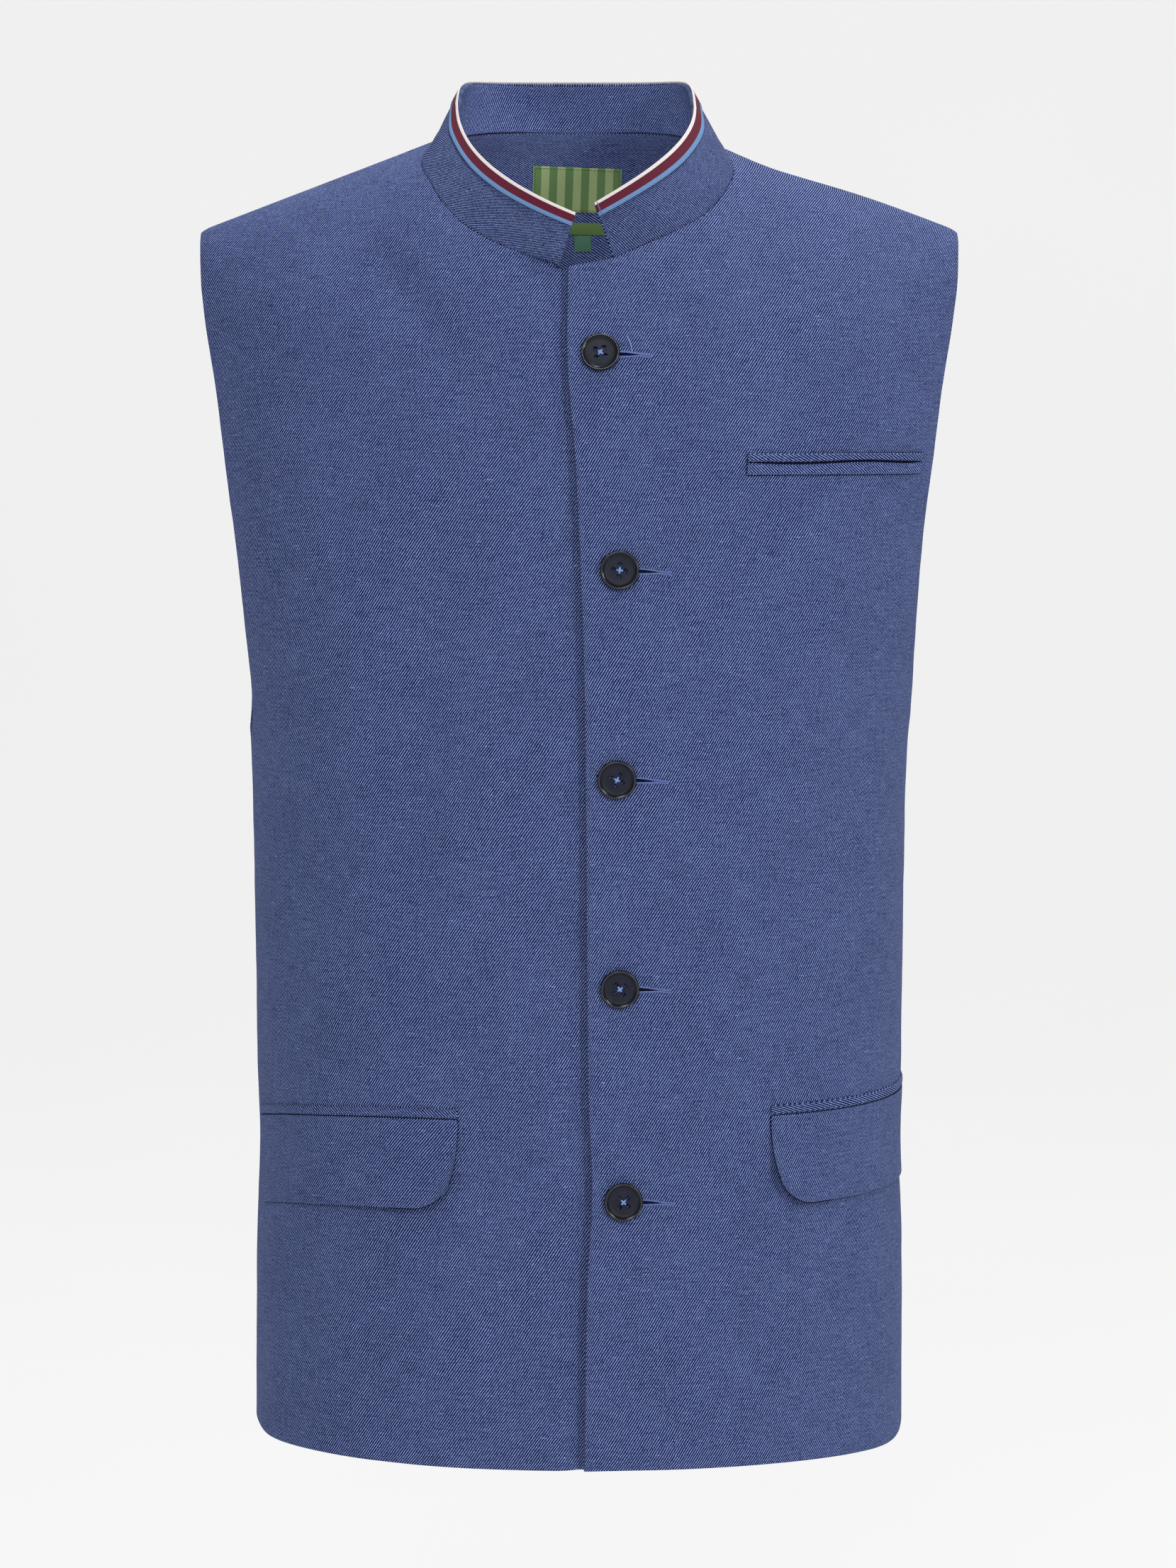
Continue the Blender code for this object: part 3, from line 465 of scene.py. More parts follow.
def distances(line, middle=0):
    """Distance of each of a line's points from its middle one, negative before it."""
    gone = [0.0] * len(line)
    for j in range(middle, len(line) - 1):
        gone[j + 1] = gone[j] + (line[j + 1] - line[j]).length
    for j in range(middle, 0, -1):
        gone[j - 1] = gone[j] - (line[j - 1] - line[j]).length
    return gone


def smooth_path(points, count):
    """Evenly spaced points on a smooth curve through given ones, both ends included."""
    padded = [2.0 * points[0] - points[1], *points, 2.0 * points[-1] - points[-2]]
    dense = []
    for before, start, end, after in zip(padded, padded[1:], padded[2:], padded[3:]):
        for i in range(NECKLINE_PATH_STEPS):
            share = i / NECKLINE_PATH_STEPS
            bend = (2.0 * before - 5.0 * start + 4.0 * end - after) * share ** 2
            twist = (3.0 * (start - end) + after - before) * share ** 3
            dense.append(0.5 * (2.0 * start + (end - before) * share + bend + twist))
    dense.append(points[-1])
    gone = distances(dense)
    path, at = [], 0
    for i in range(count + 1):
        wanted = gone[-1] * i / count
        while at < len(dense) - 2 and gone[at + 1] < wanted:
            at += 1
        path.append(dense[at].lerp(dense[at + 1], (wanted - gone[at]) / (gone[at + 1] - gone[at])))
    return path


def neckline_front(start_x, start_z, side):
    """Angles and heights along the front neckline, from a front's edge to the neck point."""
    table = NECKLINE_LEFT if side > 0 else NECKLINE_RIGHT
    neck_point = Vector((side * NECK_POINT_X, shoulder_z(side * NECK_POINT_X)))
    path = smooth_path([Vector((point.x, point.z)) for point in table] + [neck_point], NECK_COLUMNS)
    steps = LEFT_EDGE_COLUMNS if side > 0 else RIGHT_EDGE_COLUMNS
    start = Vector((start_x, start_z))
    path = [start.lerp(path[0], i / steps) for i in range(steps)] + path
    return [(front_angle(x, z), z) for x, z in path]


def back_neck_z(x):
    """Height of the back neckline."""
    share = min(abs(x) / NECK_POINT_X, 1.0)
    end_z = shoulder_z(copysign(NECK_POINT_X, x))
    return mix(NECK_POINT_Z + NECKLINE_BACK_RISE, end_z, share ** 4)


def neckline_back():
    """Angles and heights along the back neckline, from the wearer's left to the right."""
    xs = [NECK_POINT_X * cos(pi * i / BACK_NECK_COLUMNS) for i in range(BACK_NECK_COLUMNS + 1)]
    return [(back_angle(x, back_neck_z(x)), back_neck_z(x)) for x in xs]


def shoulder(side, angle_of):
    """Angles and heights along the shoulder seam, from the neck to the tip."""
    places = []
    for i in range(SHOULDER_COLUMNS + 1):
        x = mix(NECK_POINT_X, SHOULDER_TIP_X, sin(0.5 * pi * i / SHOULDER_COLUMNS) ** 0.9)
        z = shoulder_z(side * x)
        places.append((angle_of(side * x, z), z))
    return places


def armhole_angle(z, seam_angle, open_angle):
    """Angle of an armhole's edge, which turns to the side seam in a round bottom."""
    share = clamp((ARMHOLE_TURN_Z - z) / (ARMHOLE_TURN_Z - UNDERARM_Z), 0.0, 1.0)
    return mix(open_angle, seam_angle, 1.0 - sqrt(1.0 - share * share))


# Distances over the cloth, which the weave follows

class FlatMap:
    """Looks up how far a place of the fronts lies round and along the cloth, in metres."""

    def __init__(self):
        angles = spread(-FLAT_HALF_ANGLE, FLAT_HALF_ANGLE, FLAT_ANGLES)
        heights = spread(FLAT_TOP_Z, FLAT_BOTTOM_Z, FLAT_HEIGHTS)
        points = [[skin(angle, z) for z in heights] for angle in angles]
        self.up = [distances(line[::-1])[::-1] for line in points]
        self.across = list(zip(*(distances(ring, FLAT_ANGLES // 2) for ring in zip(*points))))

    def __call__(self, angle, z):
        at = clamp((angle + FLAT_HALF_ANGLE) / (2.0 * FLAT_HALF_ANGLE), 0.0, 0.99999) * FLAT_ANGLES
        down = clamp((z - FLAT_TOP_Z) / (FLAT_BOTTOM_Z - FLAT_TOP_Z), 0.0, 0.99999) * FLAT_HEIGHTS
        i, k = int(at), int(down)
        s, t = at - i, down - k
        s, t = at - i, down - k

        def read(table):
            upper = mix(table[i][k], table[i + 1][k], s)
            return mix(upper, mix(table[i][k + 1], table[i + 1][k + 1], s), t)

        return read(self.across), read(self.up)


# Meshes

def grid_normals(rows):
    """Directions out of a grid of points, from its neighbours."""
    last_row, last_column = len(rows) - 1, len(rows[0]) - 1
    normals = []
    for i in range(last_row + 1):
        line = []
        for j in range(last_column + 1):
            across = rows[i][min(j + 1, last_column)] - rows[i][max(j - 1, 0)]
            down = rows[min(i + 1, last_row)][j] - rows[max(i - 1, 0)][j]
            line.append(down.cross(across).normalized())
        normals.append(line)
    return normals


def flipped(normals):
    return [[-normal for normal in line] for line in normals]


def border_of(last_row, last_column):
    """Grid places round the border, in order."""
    border = [(0, j) for j in range(last_column)]
    border += [(i, last_column) for i in range(last_row)]
    border += [(last_row, j) for j in range(last_column, 0, -1)]
    border += [(i, 0) for i in range(last_row, 0, -1)]
    return border


def shell(name, rows, normals, flats, thickness, materials, inner_slot=None, reach=RIM_REACH,
          rim_slot=None):
    """Thin closed shell of cloth under a grid of outer points, with its edges turned over roundly.

    flats holds each point's place on the flat cloth. inner_slot gives the material of an inner
    face from its row and column, and rim_slot that of the turned edge from its row, column and ring.
    """
    last_row, last_column = len(rows) - 1, len(rows[0]) - 1
    border = border_of(last_row, last_column)
    outer = [list(line) for line in rows]
    outward = {}
    for i, j in border:
        away = Vector()
        if i == 0:
            away += (rows[0][j] - rows[1][j]).normalized()
        if i == last_row:
            away += (rows[i][j] - rows[i - 1][j]).normalized()
        if j == 0:
            away += (rows[i][0] - rows[i][1]).normalized()
        if j == last_column:
            away += (rows[i][j] - rows[i][j - 1]).normalized()
        away -= normals[i][j] * away.dot(normals[i][j])
        outward[(i, j)] = away.normalized()
        outer[i][j] = rows[i][j] - outward[(i, j)] * reach
    width = last_column + 1
    count = (last_row + 1) * width
    points = [point for line in outer for point in line]
    uvs = [flat for line in flats for flat in line]
    points += [point - normal * thickness for line, directions in zip(outer, normals)
               for point, normal in zip(line, directions)]
    uvs += uvs[:count]
    faces, slots = [], []
    for i in range(last_row):
        for j in range(last_column):
            a, b = i * width + j, (i + 1) * width + j
            faces.append((a, b, b + 1, a + 1))
            slots.append(0)
            faces.append((count + a, count + a + 1, count + b + 1, count + b))
            slots.append(inner_slot(i, j) if inner_slot else 0)
    rings = [[i * width + j for i, j in border]]
    for turn in RIM_TURNS:
        rings.append(list(range(len(points), len(points) + len(border))))
        for i, j in border:
            sink = 0.5 * thickness * (1.0 - cos(turn))
            points.append(outer[i][j] + outward[(i, j)] * reach * sin(turn) - normals[i][j] * sink)
            uvs.append(flats[i][j])
    rings.append([count + i * width + j for i, j in border])
    for level, (upper, lower) in enumerate(zip(rings, rings[1:])):
        for k in range(len(border)):
            after = (k + 1) % len(border)
            faces.append((upper[k], upper[after], lower[after], lower[k]))
            slots.append(rim_slot(*border[k], level) if rim_slot else 0)
    mesh = bpy.data.meshes.new(name)
    mesh.from_pydata(points, [], faces)
    mesh.polygons.foreach_set("material_index", slots)
    layer = mesh.uv_layers.new(name="UVMap")
    corners = [0] * len(mesh.loops)
    mesh.loops.foreach_get("vertex_index", corners)
    layer.uv.foreach_set("vector", [number for corner in corners for number in uvs[corner]])
    for made_material in materials:
        mesh.materials.append(made_material)
    return settle(name, mesh)


def linked(name, data):
    """A new object in the scene."""
    thing = bpy.data.objects.new(name, data)
    bpy.context.scene.collection.objects.link(thing)
    return thing


def settle(name, mesh):
    """Makes a mesh's faces point out and links it as a piece of the garment."""
    tool = bmesh.new()
    tool.from_mesh(mesh)
    bmesh.ops.recalc_face_normals(tool, faces=tool.faces)
    tool.to_mesh(mesh)
    tool.free()
    mesh.shade_smooth()
    piece = linked(name, mesh)
    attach(piece, "root")
    return piece


def swept(paths, radius, sides):
    """Points and faces of round threads along paths of points."""
    points, faces = [], []
    for path in paths:
        start = len(points)
        for k, here in enumerate(path):
            ahead = (path[min(k + 1, len(path) - 1)] - path[max(k - 1, 0)]).normalized()
            side = ahead.orthogonal().normalized()
            up = ahead.cross(side)
            thick = radius * (THREAD_TAPER if k in (0, len(path) - 1) else 1.0)
            for s in range(sides):
                turn = 2.0 * pi * s / sides
                points.append(here + (side * cos(turn) + up * sin(turn)) * thick)
        for k in range(len(path) - 1):
            for s in range(sides):
                after = (s + 1) % sides
                low, high = start + k * sides, start + (k + 1) * sides
                faces.append((low + s, low + after, high + after, high + s))
        last = start + (len(path) - 1) * sides
        faces.append(tuple(range(start + sides - 1, start - 1, -1)))
        faces.append(tuple(range(last, last + sides)))
    return points, faces


def plain_piece(name, points, faces, made_material, slot):
    """A piece of one material, with no place on the flat cloth."""
    mesh = bpy.data.meshes.new(name)
    mesh.from_pydata(points, [], faces)
    mesh.materials.append(made_material)
    settle(name, mesh)


def threads(name, paths, radius, made_material, slot, sides):
    """A piece of sewing thread along paths of points."""
    plain_piece(name, *swept(paths, radius, sides), made_material, slot)


def strip(name, lines, made_material):
    """A strip of painted shade through lines of points, standing in for the shadow in a gap of the cloth."""
    width = len(lines[0])
    faces = [(i * width + j, (i + 1) * width + j, (i + 1) * width + j + 1, i * width + j + 1)
             for i in range(len(lines) - 1) for j in range(width - 1)]
    plain_piece(name, [point for line in lines for point in line], faces, made_material, "cloth")


def stand_for(piece, node, slot, **cut):
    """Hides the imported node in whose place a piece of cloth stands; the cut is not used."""
    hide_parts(node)


# Materials

class Number:
    """A value in a material's nodes, with plain arithmetic."""

    def __init__(self, shader, socket):
        self.shader, self.socket = shader, socket

    def math(self, operation, other=0.0):
        node = self.shader.add("Math", operation=operation)
        self.shader.feed(node.inputs[0], self)
        self.shader.feed(node.inputs[1], other)
        return Number(self.shader, node.outputs[0])

    def __add__(self, other):
        return self.math("ADD", other)

    def __sub__(self, other):
        return self.math("SUBTRACT", other)

    def __mul__(self, other):
        return self.math("MULTIPLY", other)

    def over(self, limit):
        return self.math("GREATER_THAN", limit)

    def wave(self, pitch):
        return (self * (2.0 * pi / pitch)).math("SINE")


class Shader:
    """A material's nodes, with short calls for the ones used here."""

    def __init__(self, name):
        self.material = bpy.data.materials.new(name)
        self.material.use_nodes = True
        self.nodes = self.material.node_tree.nodes
        self.surface = self.nodes["Principled BSDF"]

    def add(self, kind, **settings):
        node = self.nodes.new("ShaderNode" + kind)
        for key, value in settings.items():
            setattr(node, key, value)
        return node

    def feed(self, socket, value):
        if isinstance(value, Number):
            self.material.node_tree.links.new(value.socket, socket)
        elif socket.type == "RGBA":
            socket.default_value = (*value, 1.0)
        else:
            socket.default_value = value

    def feed_all(self, node, **values):
        """Feeds sockets by their names, with underscores for spaces."""
        for key, value in values.items():
            self.feed(node.inputs[key.replace("_", " ")], value)

    def body(self):
        """Place in the object's own space."""
        return Number(self, self.add("TexCoord").outputs["Object"])

    def parts(self, place):
        node = self.add("SeparateXYZ")
        self.feed(node.inputs[0], place)
        return Number(self, node.outputs[0]), Number(self, node.outputs[1])

    def flat(self):
        """Place on the flat cloth: across and up, in metres."""
        return self.parts(Number(self, self.add("UVMap", uv_map="UVMap").outputs[0]))

    def place(self, x, y, z=0.0):
        node = self.add("CombineXYZ")
        for socket, value in zip(node.inputs, (x, y, z)):
            self.feed(socket, value)
        return Number(self, node.outputs[0])

    def noise(self, place, scale, detail=2.0, roughness=0.5):
        node = self.add("TexNoise")
        self.feed_all(node, Vector=place, Scale=scale, Detail=detail, Roughness=roughness)
        return Number(self, node.outputs[0])

    def ramp(self, value, *stops):
        """Colour of a value, from stops of a position and a colour."""
        node = self.add("ValToRGB")
        elements = node.color_ramp.elements
        while len(elements) < len(stops):
            elements.new(0.5)
        for element, (position, colour) in zip(elements, stops):
            element.position = position
            element.color = (*colour, 1.0)
        self.feed(node.inputs[0], value)
        return Number(self, node.outputs[0])

    def blend(self, share, a, b):
        node = self.add("Mix", data_type="RGBA")
        for k, value in ((0, share), (6, a), (7, b)):
            self.feed(node.inputs[k], value)
        return Number(self, node.outputs[2])

    def bump(self, height, distance, strength):
        node = self.add("Bump")
        self.feed_all(node, Height=height, Distance=distance, Strength=strength)
        self.feed(self.surface.inputs["Normal"], Number(self, node.outputs[0]))

    def finish(self, colour, roughness, **sockets):
        """Sets the surface, with any other sockets by name."""
        self.feed_all(self.surface, Base_Color=colour, Roughness=roughness, **sockets)
        return self.material


def scaled(colour, share):
    return tuple(share * part for part in colour)


RIB_PITCH = 0.00117
COLLAR_TONE = 0.79
# Painted light: the collar's inner face is 14 % lighter again, for the light its hollow lacks.
COLLAR_INSIDE_PAINTED_LIGHT = 1.14
# The inside weave is a lighter copy of the same blue cloth: painted light for the facing and the collar's
# inner face, which lie in the neck's shade.
BLUE, LIT_INSIDE_WEAVE = table_of(
    "dark deep middle light fleck",
    ((0.0040, 0.0075, 0.0330), (0.0103, 0.0187, 0.0780), (0.0470, 0.0705, 0.2050),
     (0.2450, 0.3150, 0.6100), (0.4400, 0.5300, 0.8200)),
    ((0.0100, 0.0180, 0.0760), (0.0240, 0.0410, 0.1600), (0.0900, 0.1320, 0.3600),
     (0.3600, 0.4500, 0.8200), (0.5600, 0.6600, 0.9200)))
COLLAR = BLUE._make(scaled(colour, COLLAR_TONE) for colour in BLUE)
LIT_COLLAR_INSIDE_WEAVE = LIT_INSIDE_WEAVE._make(scaled(colour, COLLAR_INSIDE_PAINTED_LIGHT) for colour in LIT_INSIDE_WEAVE)


def twill(name, lean, weave=BLUE, shift=0.0):
    """Linen-blend twill, whose ribs lean by an angle from the cloth's cross direction."""
    s = Shader(name)
    x, y = s.flat()
    place = s.place(x, y, shift)
    cosine, sine = cos(radians(lean)), sin(radians(lean))
    along = x * cosine + y * sine
    across = x * sine - y * cosine
    across = across + (s.noise(place, 11.0, 1.5) - 0.5) * 0.0065
    across = across + (s.noise(place, 210.0) - 0.5) * 0.00055
    phase = across * (2.0 * pi / RIB_PITCH)
    float_phase = along * (2.0 * pi / (0.9 * RIB_PITCH)) + phase * 0.5
    knots = s.noise(s.place(along, across * 1.6, shift), 900.0, 1.0) - 0.5
    rib = phase.math("SINE") * 0.50 + float_phase.math("SINE") * 0.07 + knots * 0.85
    weft_yarn = s.noise(s.place(x * 0.07, y, shift + 2.0), 1050.0) - 0.5
    warp_yarn = s.noise(s.place(x, y * 0.07, shift + 1.0), 1050.0) - 0.5
    grain = weft_yarn * 0.40 + warp_yarn * 0.28
    patches = s.noise(place, 26.0, 3.0, 0.6) - 0.5
    slub = (s.noise(s.place(x * 0.16, y, shift + 4.0), 1150.0, 1.0) - 0.67) * 4.5
    tone = rib + 0.45 + (grain + patches * 0.15) + slub.math("MAXIMUM", 0.0).math("MINIMUM", 0.5)
    colour = s.ramp(tone, (0.0, weave.dark), (0.30, weave.deep), (0.58, weave.middle), (1.0, weave.light))
    fleck = s.noise(s.place(along, across * 1.7, shift + 3.0), 820.0, 1.0).over(0.735) * tone.over(0.45)
    colour = s.blend(fleck * 0.7, colour, weave.fleck)
    s.bump(rib + grain, 0.00020, 0.8)
    return s.finish(colour, patches * 0.2 + 0.78, Sheen_Weight=0.03, Sheen_Roughness=0.4,
                    Sheen_Tint=(0.55, 0.68, 1.0), Specular_IOR_Level=0.06)


def lining_and_edge_shade():
    """Smooth dark lining inside the body, also used as painted shade on the fronts' turned edges and the
    facing's far rim.
    """
    s = Shader("lining_and_edge_shade")
    x, y = s.flat()
    weft = s.noise(s.place(x, y * 14.0, 4.0), 160.0, 3.0, 0.6)
    cloud = s.noise(s.place(x, y, 6.0), 18.0)
    colour = s.ramp(weft * 0.5 + cloud * 0.5, (0.25, (0.010, 0.016, 0.060)), (0.75, (0.026, 0.040, 0.125)))
    s.bump(weft, 0.00008, 0.6)
    return s.finish(colour, 0.42, Sheen_Weight=0.1, Specular_IOR_Level=0.45)


def striped_tape():
    """Three-stripe ribbed tape: cream on top, maroon, then light blue."""
    s = Shader("striped_tape")
    x, y = s.flat()
    height = y + (s.noise(s.place(x, y), 900.0) - 0.5) * 0.00016
    lean = radians(52.0)
    rib = (x * sin(lean) - y * cos(lean)).wave(0.00062) * 0.5 + 0.5
    grain = s.noise(s.place(x, y * 3.0, 2.0), 700.0, 3.0, 0.6)
    shade = rib * 0.45 + grain * 0.6
    cream = s.ramp(shade, (0.1, (0.430, 0.390, 0.380)), (0.8, (0.780, 0.730, 0.715)))
    maroon = s.ramp(shade, (0.1, (0.040, 0.0030, 0.0095)), (0.8, (0.130, 0.0120, 0.0330)))
    blue = s.ramp(shade, (0.1, (0.050, 0.110, 0.240)), (0.8, (0.160, 0.290, 0.520)))
    lower = s.blend(height.over(TAPE_STRIPES[0]), blue, maroon)
    s.bump(shade, 0.00016, 0.8)
    return s.finish(s.blend(height.over(TAPE_STRIPES[1]), lower, cream), 0.80, Sheen_Weight=0.03,
                    Specular_IOR_Level=0.12)


def woven_label(name, light, dark=None):
    """Damask label. With a dark tone too, it has upright bars of the two, all of one width."""
    s = Shader(name)
    x, y = s.flat()
    weave = y.wave(0.00034) * x.wave(0.00030) * 0.25 + 0.5
    tone = weave * 0.5 + s.noise(s.place(x, y * 4.0, 1.0), 800.0) * 0.5
    colour = s.ramp(tone, (0.2, scaled(light, 0.75)), (0.8, scaled(light, 1.15)))
    if dark:
        deep = s.ramp(tone, (0.2, scaled(dark, 0.70)), (0.8, scaled(dark, 1.20)))
        in_bar = (x.math("DIVIDE", LABEL_BAR_PITCH) + 20.25).math("FRACT").over(0.5)
        colour = s.blend(in_bar, colour, deep)
    s.bump(weave, 0.00010, 0.8)
    return s.finish(colour, 0.62, Sheen_Weight=0.1, Specular_IOR_Level=0.35)


def thread_material(name, dark, light):
    """Twisted sewing thread."""
    s = Shader(name)
    place = s.body()
    twist = s.add("TexWave", bands_direction="DIAGONAL")
    s.feed_all(twist, Vector=place, Scale=TWIST_SCALE, Distortion=1.5)
    tone = Number(s, twist.outputs[1]) * 0.4 + s.noise(place, 2200.0) * 0.6
    s.bump(tone, 0.00006, 0.6)
    return s.finish(s.ramp(tone, (0.2, dark), (0.8, light)), 0.65, Sheen_Weight=0.2, Specular_IOR_Level=0.3)


def button_material():
    """Dark polished resin with a faint horn-like cloud, duller where it is dished, with a painted highlight
    ring on the rim's crest.
    """
    s = Shader("button_resin")
    place = s.body()
    x, y = s.parts(place)
    out = (x.math("POWER", 2.0) + y.math("POWER", 2.0)).math("SQRT")
    streak = s.noise(s.place(x * 5.0, y), 900.0, 3.0, 0.7)
    tone = s.noise(place, 260.0, 4.0, 0.6) * 0.6 + streak * 0.4
    body = s.ramp(tone, (0.3, (0.0022, 0.0034, 0.0100)), (0.72, (0.0115, 0.0145, 0.0280)))
    in_rim = out.over(0.80 * BUTTON_RADIUS)
    colour = s.blend(in_rim, body, (0.004, 0.0048, 0.0085))
    # Painted highlight: a thin light ring along the rim's crest.
    from_crest = (out - 0.925 * BUTTON_RADIUS).math("DIVIDE", 0.022 * BUTTON_RADIUS)
    rim_highlight = (from_crest.math("ABSOLUTE").math("POWER", 2.0) * -1.0).math("EXPONENT")
    colour = s.blend(rim_highlight * 0.8, colour, (0.070, 0.074, 0.086))
    s.bump(streak, 0.00003, 0.5)
    return s.finish(colour, in_rim * -0.34 + 0.50, Specular_IOR_Level=0.24)


def painted_shade_material():
    """Painted shade for the dark slot between a buttonhole's or pocket's lips, and for the dark far half of
    the welts' and flaps' turned edges.
    """
    s = Shader("slot_shadow")
    colour = s.ramp(s.noise(s.body(), 900.0), (0.3, (0.002, 0.003, 0.010)), (0.7, (0.006, 0.009, 0.030)))
    return s.finish(colour, 0.95, Specular_IOR_Level=0.05)


# Panels of the body

def panel_places(top, bottom_angles, left_edge, right_edge):
    """Angles and heights of a panel's grid, from its top edge down to the hem."""
    last = len(top) - 1
    bottom = bottom_angles(UNDERARM_Z)
    rows = []
    for i in range(ARMHOLE_ROWS + 1):
        share = 0.5 - 0.5 * cos(pi * i / ARMHOLE_ROWS)
        fan = sqrt(share)
        first = left_edge(mix(top[0][1], UNDERARM_Z, share)) - mix(top[0][0], bottom[0], fan)
        final = right_edge(mix(top[-1][1], UNDERARM_Z, share)) - mix(top[-1][0], bottom[-1], fan)
        line = []
        for j, (angle, z_top) in enumerate(top):
            place = j / last
            turn = mix(angle, bottom[j], fan) + (1.0 - place) * first + place * final
            line.append((turn, mix(z_top, UNDERARM_Z, share)))
        rows.append(line)
    for i in range(1, LOWER_ROWS + 1):
        z = mix(UNDERARM_Z, HEM_Z, i / LOWER_ROWS)
        rows.append([(angle, mix(UNDERARM_Z, hem_z(angle), i / LOWER_ROWS)) for angle in bottom_angles(z)])
    return rows


def square_seams(rows, normals, shoulders, side_columns):
    """Makes a panel's edges meet its neighbours' squarely at the shoulder and side seams."""
    for first, last in shoulders:
        for j in range(first, last + 1):
            before, after = rows[0][max(j - 1, first)], rows[0][min(j + 1, last)]
            slope = (after.z - before.z) / (after.x - before.x)
            normals[0][j] = Vector((-slope, 0.0, 1.0)).normalized()
    for j, seam_angle in side_columns:
        for i in range(ARMHOLE_ROWS, len(rows)):
            normals[i][j] = skin_normal(seam_angle, rows[i][j].z)


def raised(rows, normals, lift_of):
    return [[point + normal * lift_of(point) for point, normal in zip(line, directions)]
            for line, directions in zip(rows, normals)]


def past_edge(point):
    """How far a point lies past the upper front's edge, towards the wearer's left."""
    return point.x - along_table(FRONT_EDGE, point.z, "x")


def underlap_lift(point):
    """Lift of the under front, which lies below the upper one's face."""
    past = past_edge(point)
    step = (WALL + SEAM_GAP) * smooth_step(-UNDERLAP_STEP_START, -UNDERLAP_STEP_END, past)
    groove = EDGE_GROOVE * mix(0.8, 1.5, smooth_step(-0.30, -0.70, point.z))
    return -step - groove * exp(-((past + EDGE_GROOVE_PLACE) / EDGE_GROOVE_WIDTH) ** 2)


def edge_lift(point):
    """How far the upper front's edge stands off."""
    return EDGE_LIFT * exp(-(past_edge(point) / EDGE_LIFT_WIDTH) ** 2)


def front(side, flat_map, materials):
    """One front, from its edge to the side seam. Side is 1 for the wearer's left, -1 for the right."""
    seam_angle = LEFT_SEAM_ANGLE if side > 0 else RIGHT_SEAM_ANGLE
    side_angle = seam_angle - side * 0.5 * SEWN / BODY[-1].front_depth
    underlap = 0.0 if side > 0 else UNDERLAP

    def edge_angle(z):
        return front_angle(along_table(FRONT_EDGE, z, "x") + underlap, z)

    def bottom_angles(z):
        return spread(edge_angle(z), side_angle, len(top) - 1)

    def armhole_edge(z):
        return armhole_angle(z, side_angle, side * ARMHOLE_ANGLE)

    def inner_slot(i, j):
        return 0 if side * past_edge(rows[i][j]) < FACING_REACH else 1

    top_z = LEFT_EDGE_TOP_Z if side > 0 else RIGHT_EDGE_TOP_Z
    top = neckline_front(FRONT_EDGE[0].x + underlap, top_z, side)
    neck_column = len(top) - 1
    top += shoulder(side, front_angle)[1:]
    places = panel_places(top, bottom_angles, edge_angle, armhole_edge)
    rows = [[skin(angle, z) for angle, z in line] for line in places]
    for point in rows[0][neck_column:]:
        point.y = -0.5 * SEWN
    normals = grid_normals(rows) if side > 0 else flipped(grid_normals(rows))
    square_seams(rows, normals, [(neck_column, len(top) - 1)], [(-1, seam_angle)])
    rows = raised(rows, normals, relief)
    rows = raised(rows, normals, edge_lift if side > 0 else underlap_lift)
    flats = [[flat_map(angle, z) for angle, z in line] for line in places]
    # Painted shade: the turned front edge (column 0) takes the dark lining, drawing the shadow line along
    # the upper front's edge.
    return shell("front_left_cloth" if side > 0 else "front_right_cloth", rows, normals, flats, WALL,
                 materials, inner_slot, rim_slot=lambda i, j, level: 1 if j == 0 else 0)


def back(materials):
    """The back, one piece from side seam to side seam."""
    gap_angle = 0.5 * SEWN / BODY[-1].back_depth
    first_angle = LEFT_SEAM_ANGLE + gap_angle
    last_angle = RIGHT_SEAM_ANGLE + 2.0 * pi - gap_angle
    top = shoulder(1, back_angle)[::-1] + neckline_back()[1:-1] + shoulder(-1, back_angle)
    last = len(top) - 1

    def bottom_angles(z):
        return spread(first_angle, last_angle, last)

    def left_armhole(z):
        return armhole_angle(z, first_angle, pi - ARMHOLE_ANGLE)

    def right_armhole(z):
        return armhole_angle(z, last_angle, pi + ARMHOLE_ANGLE)

    places = panel_places(top, bottom_angles, left_armhole, right_armhole)
    rows = [[skin(angle, z) for angle, z in line] for line in places]
    for point in rows[0][:SHOULDER_COLUMNS + 1] + rows[0][last - SHOULDER_COLUMNS:]:
        point.y = 0.5 * SEWN
    normals = grid_normals(rows)
    square_seams(rows, normals, [(0, SHOULDER_COLUMNS), (last - SHOULDER_COLUMNS, last)],
                 [(0, LEFT_SEAM_ANGLE), (-1, RIGHT_SEAM_ANGLE)])
    for corner, inward in ((SHOULDER_COLUMNS, 1), (last - SHOULDER_COLUMNS, -1)):
        for line in normals[:NECK_CORNER_ROWS]:
            start, end = line[corner - inward], line[corner + NECK_CORNER_COLUMNS * inward]
            for k in range(NECK_CORNER_COLUMNS):
                line[corner + k * inward] = start.lerp(end, k / NECK_CORNER_COLUMNS).normalized()
    flats = band_flats(rows, 0.0)
    rows = raised(rows, normals, relief)
    return shell("back_cloth", rows, normals, flats, WALL, materials, lambda i, j: 1)


# Collar

def collar_base():
    """Points of the collar's seam, from its right end round the back to its left end."""
    right = neckline_front(0.0, 0.0, -1)[RIGHT_EDGE_COLUMNS:]
    rear = neckline_back()[1:-1][::-1]
    left = neckline_front(0.0, 0.0, 1)[LEFT_EDGE_COLUMNS:][::-1]
    return [skin(angle, z) for angle, z in right + rear + left]


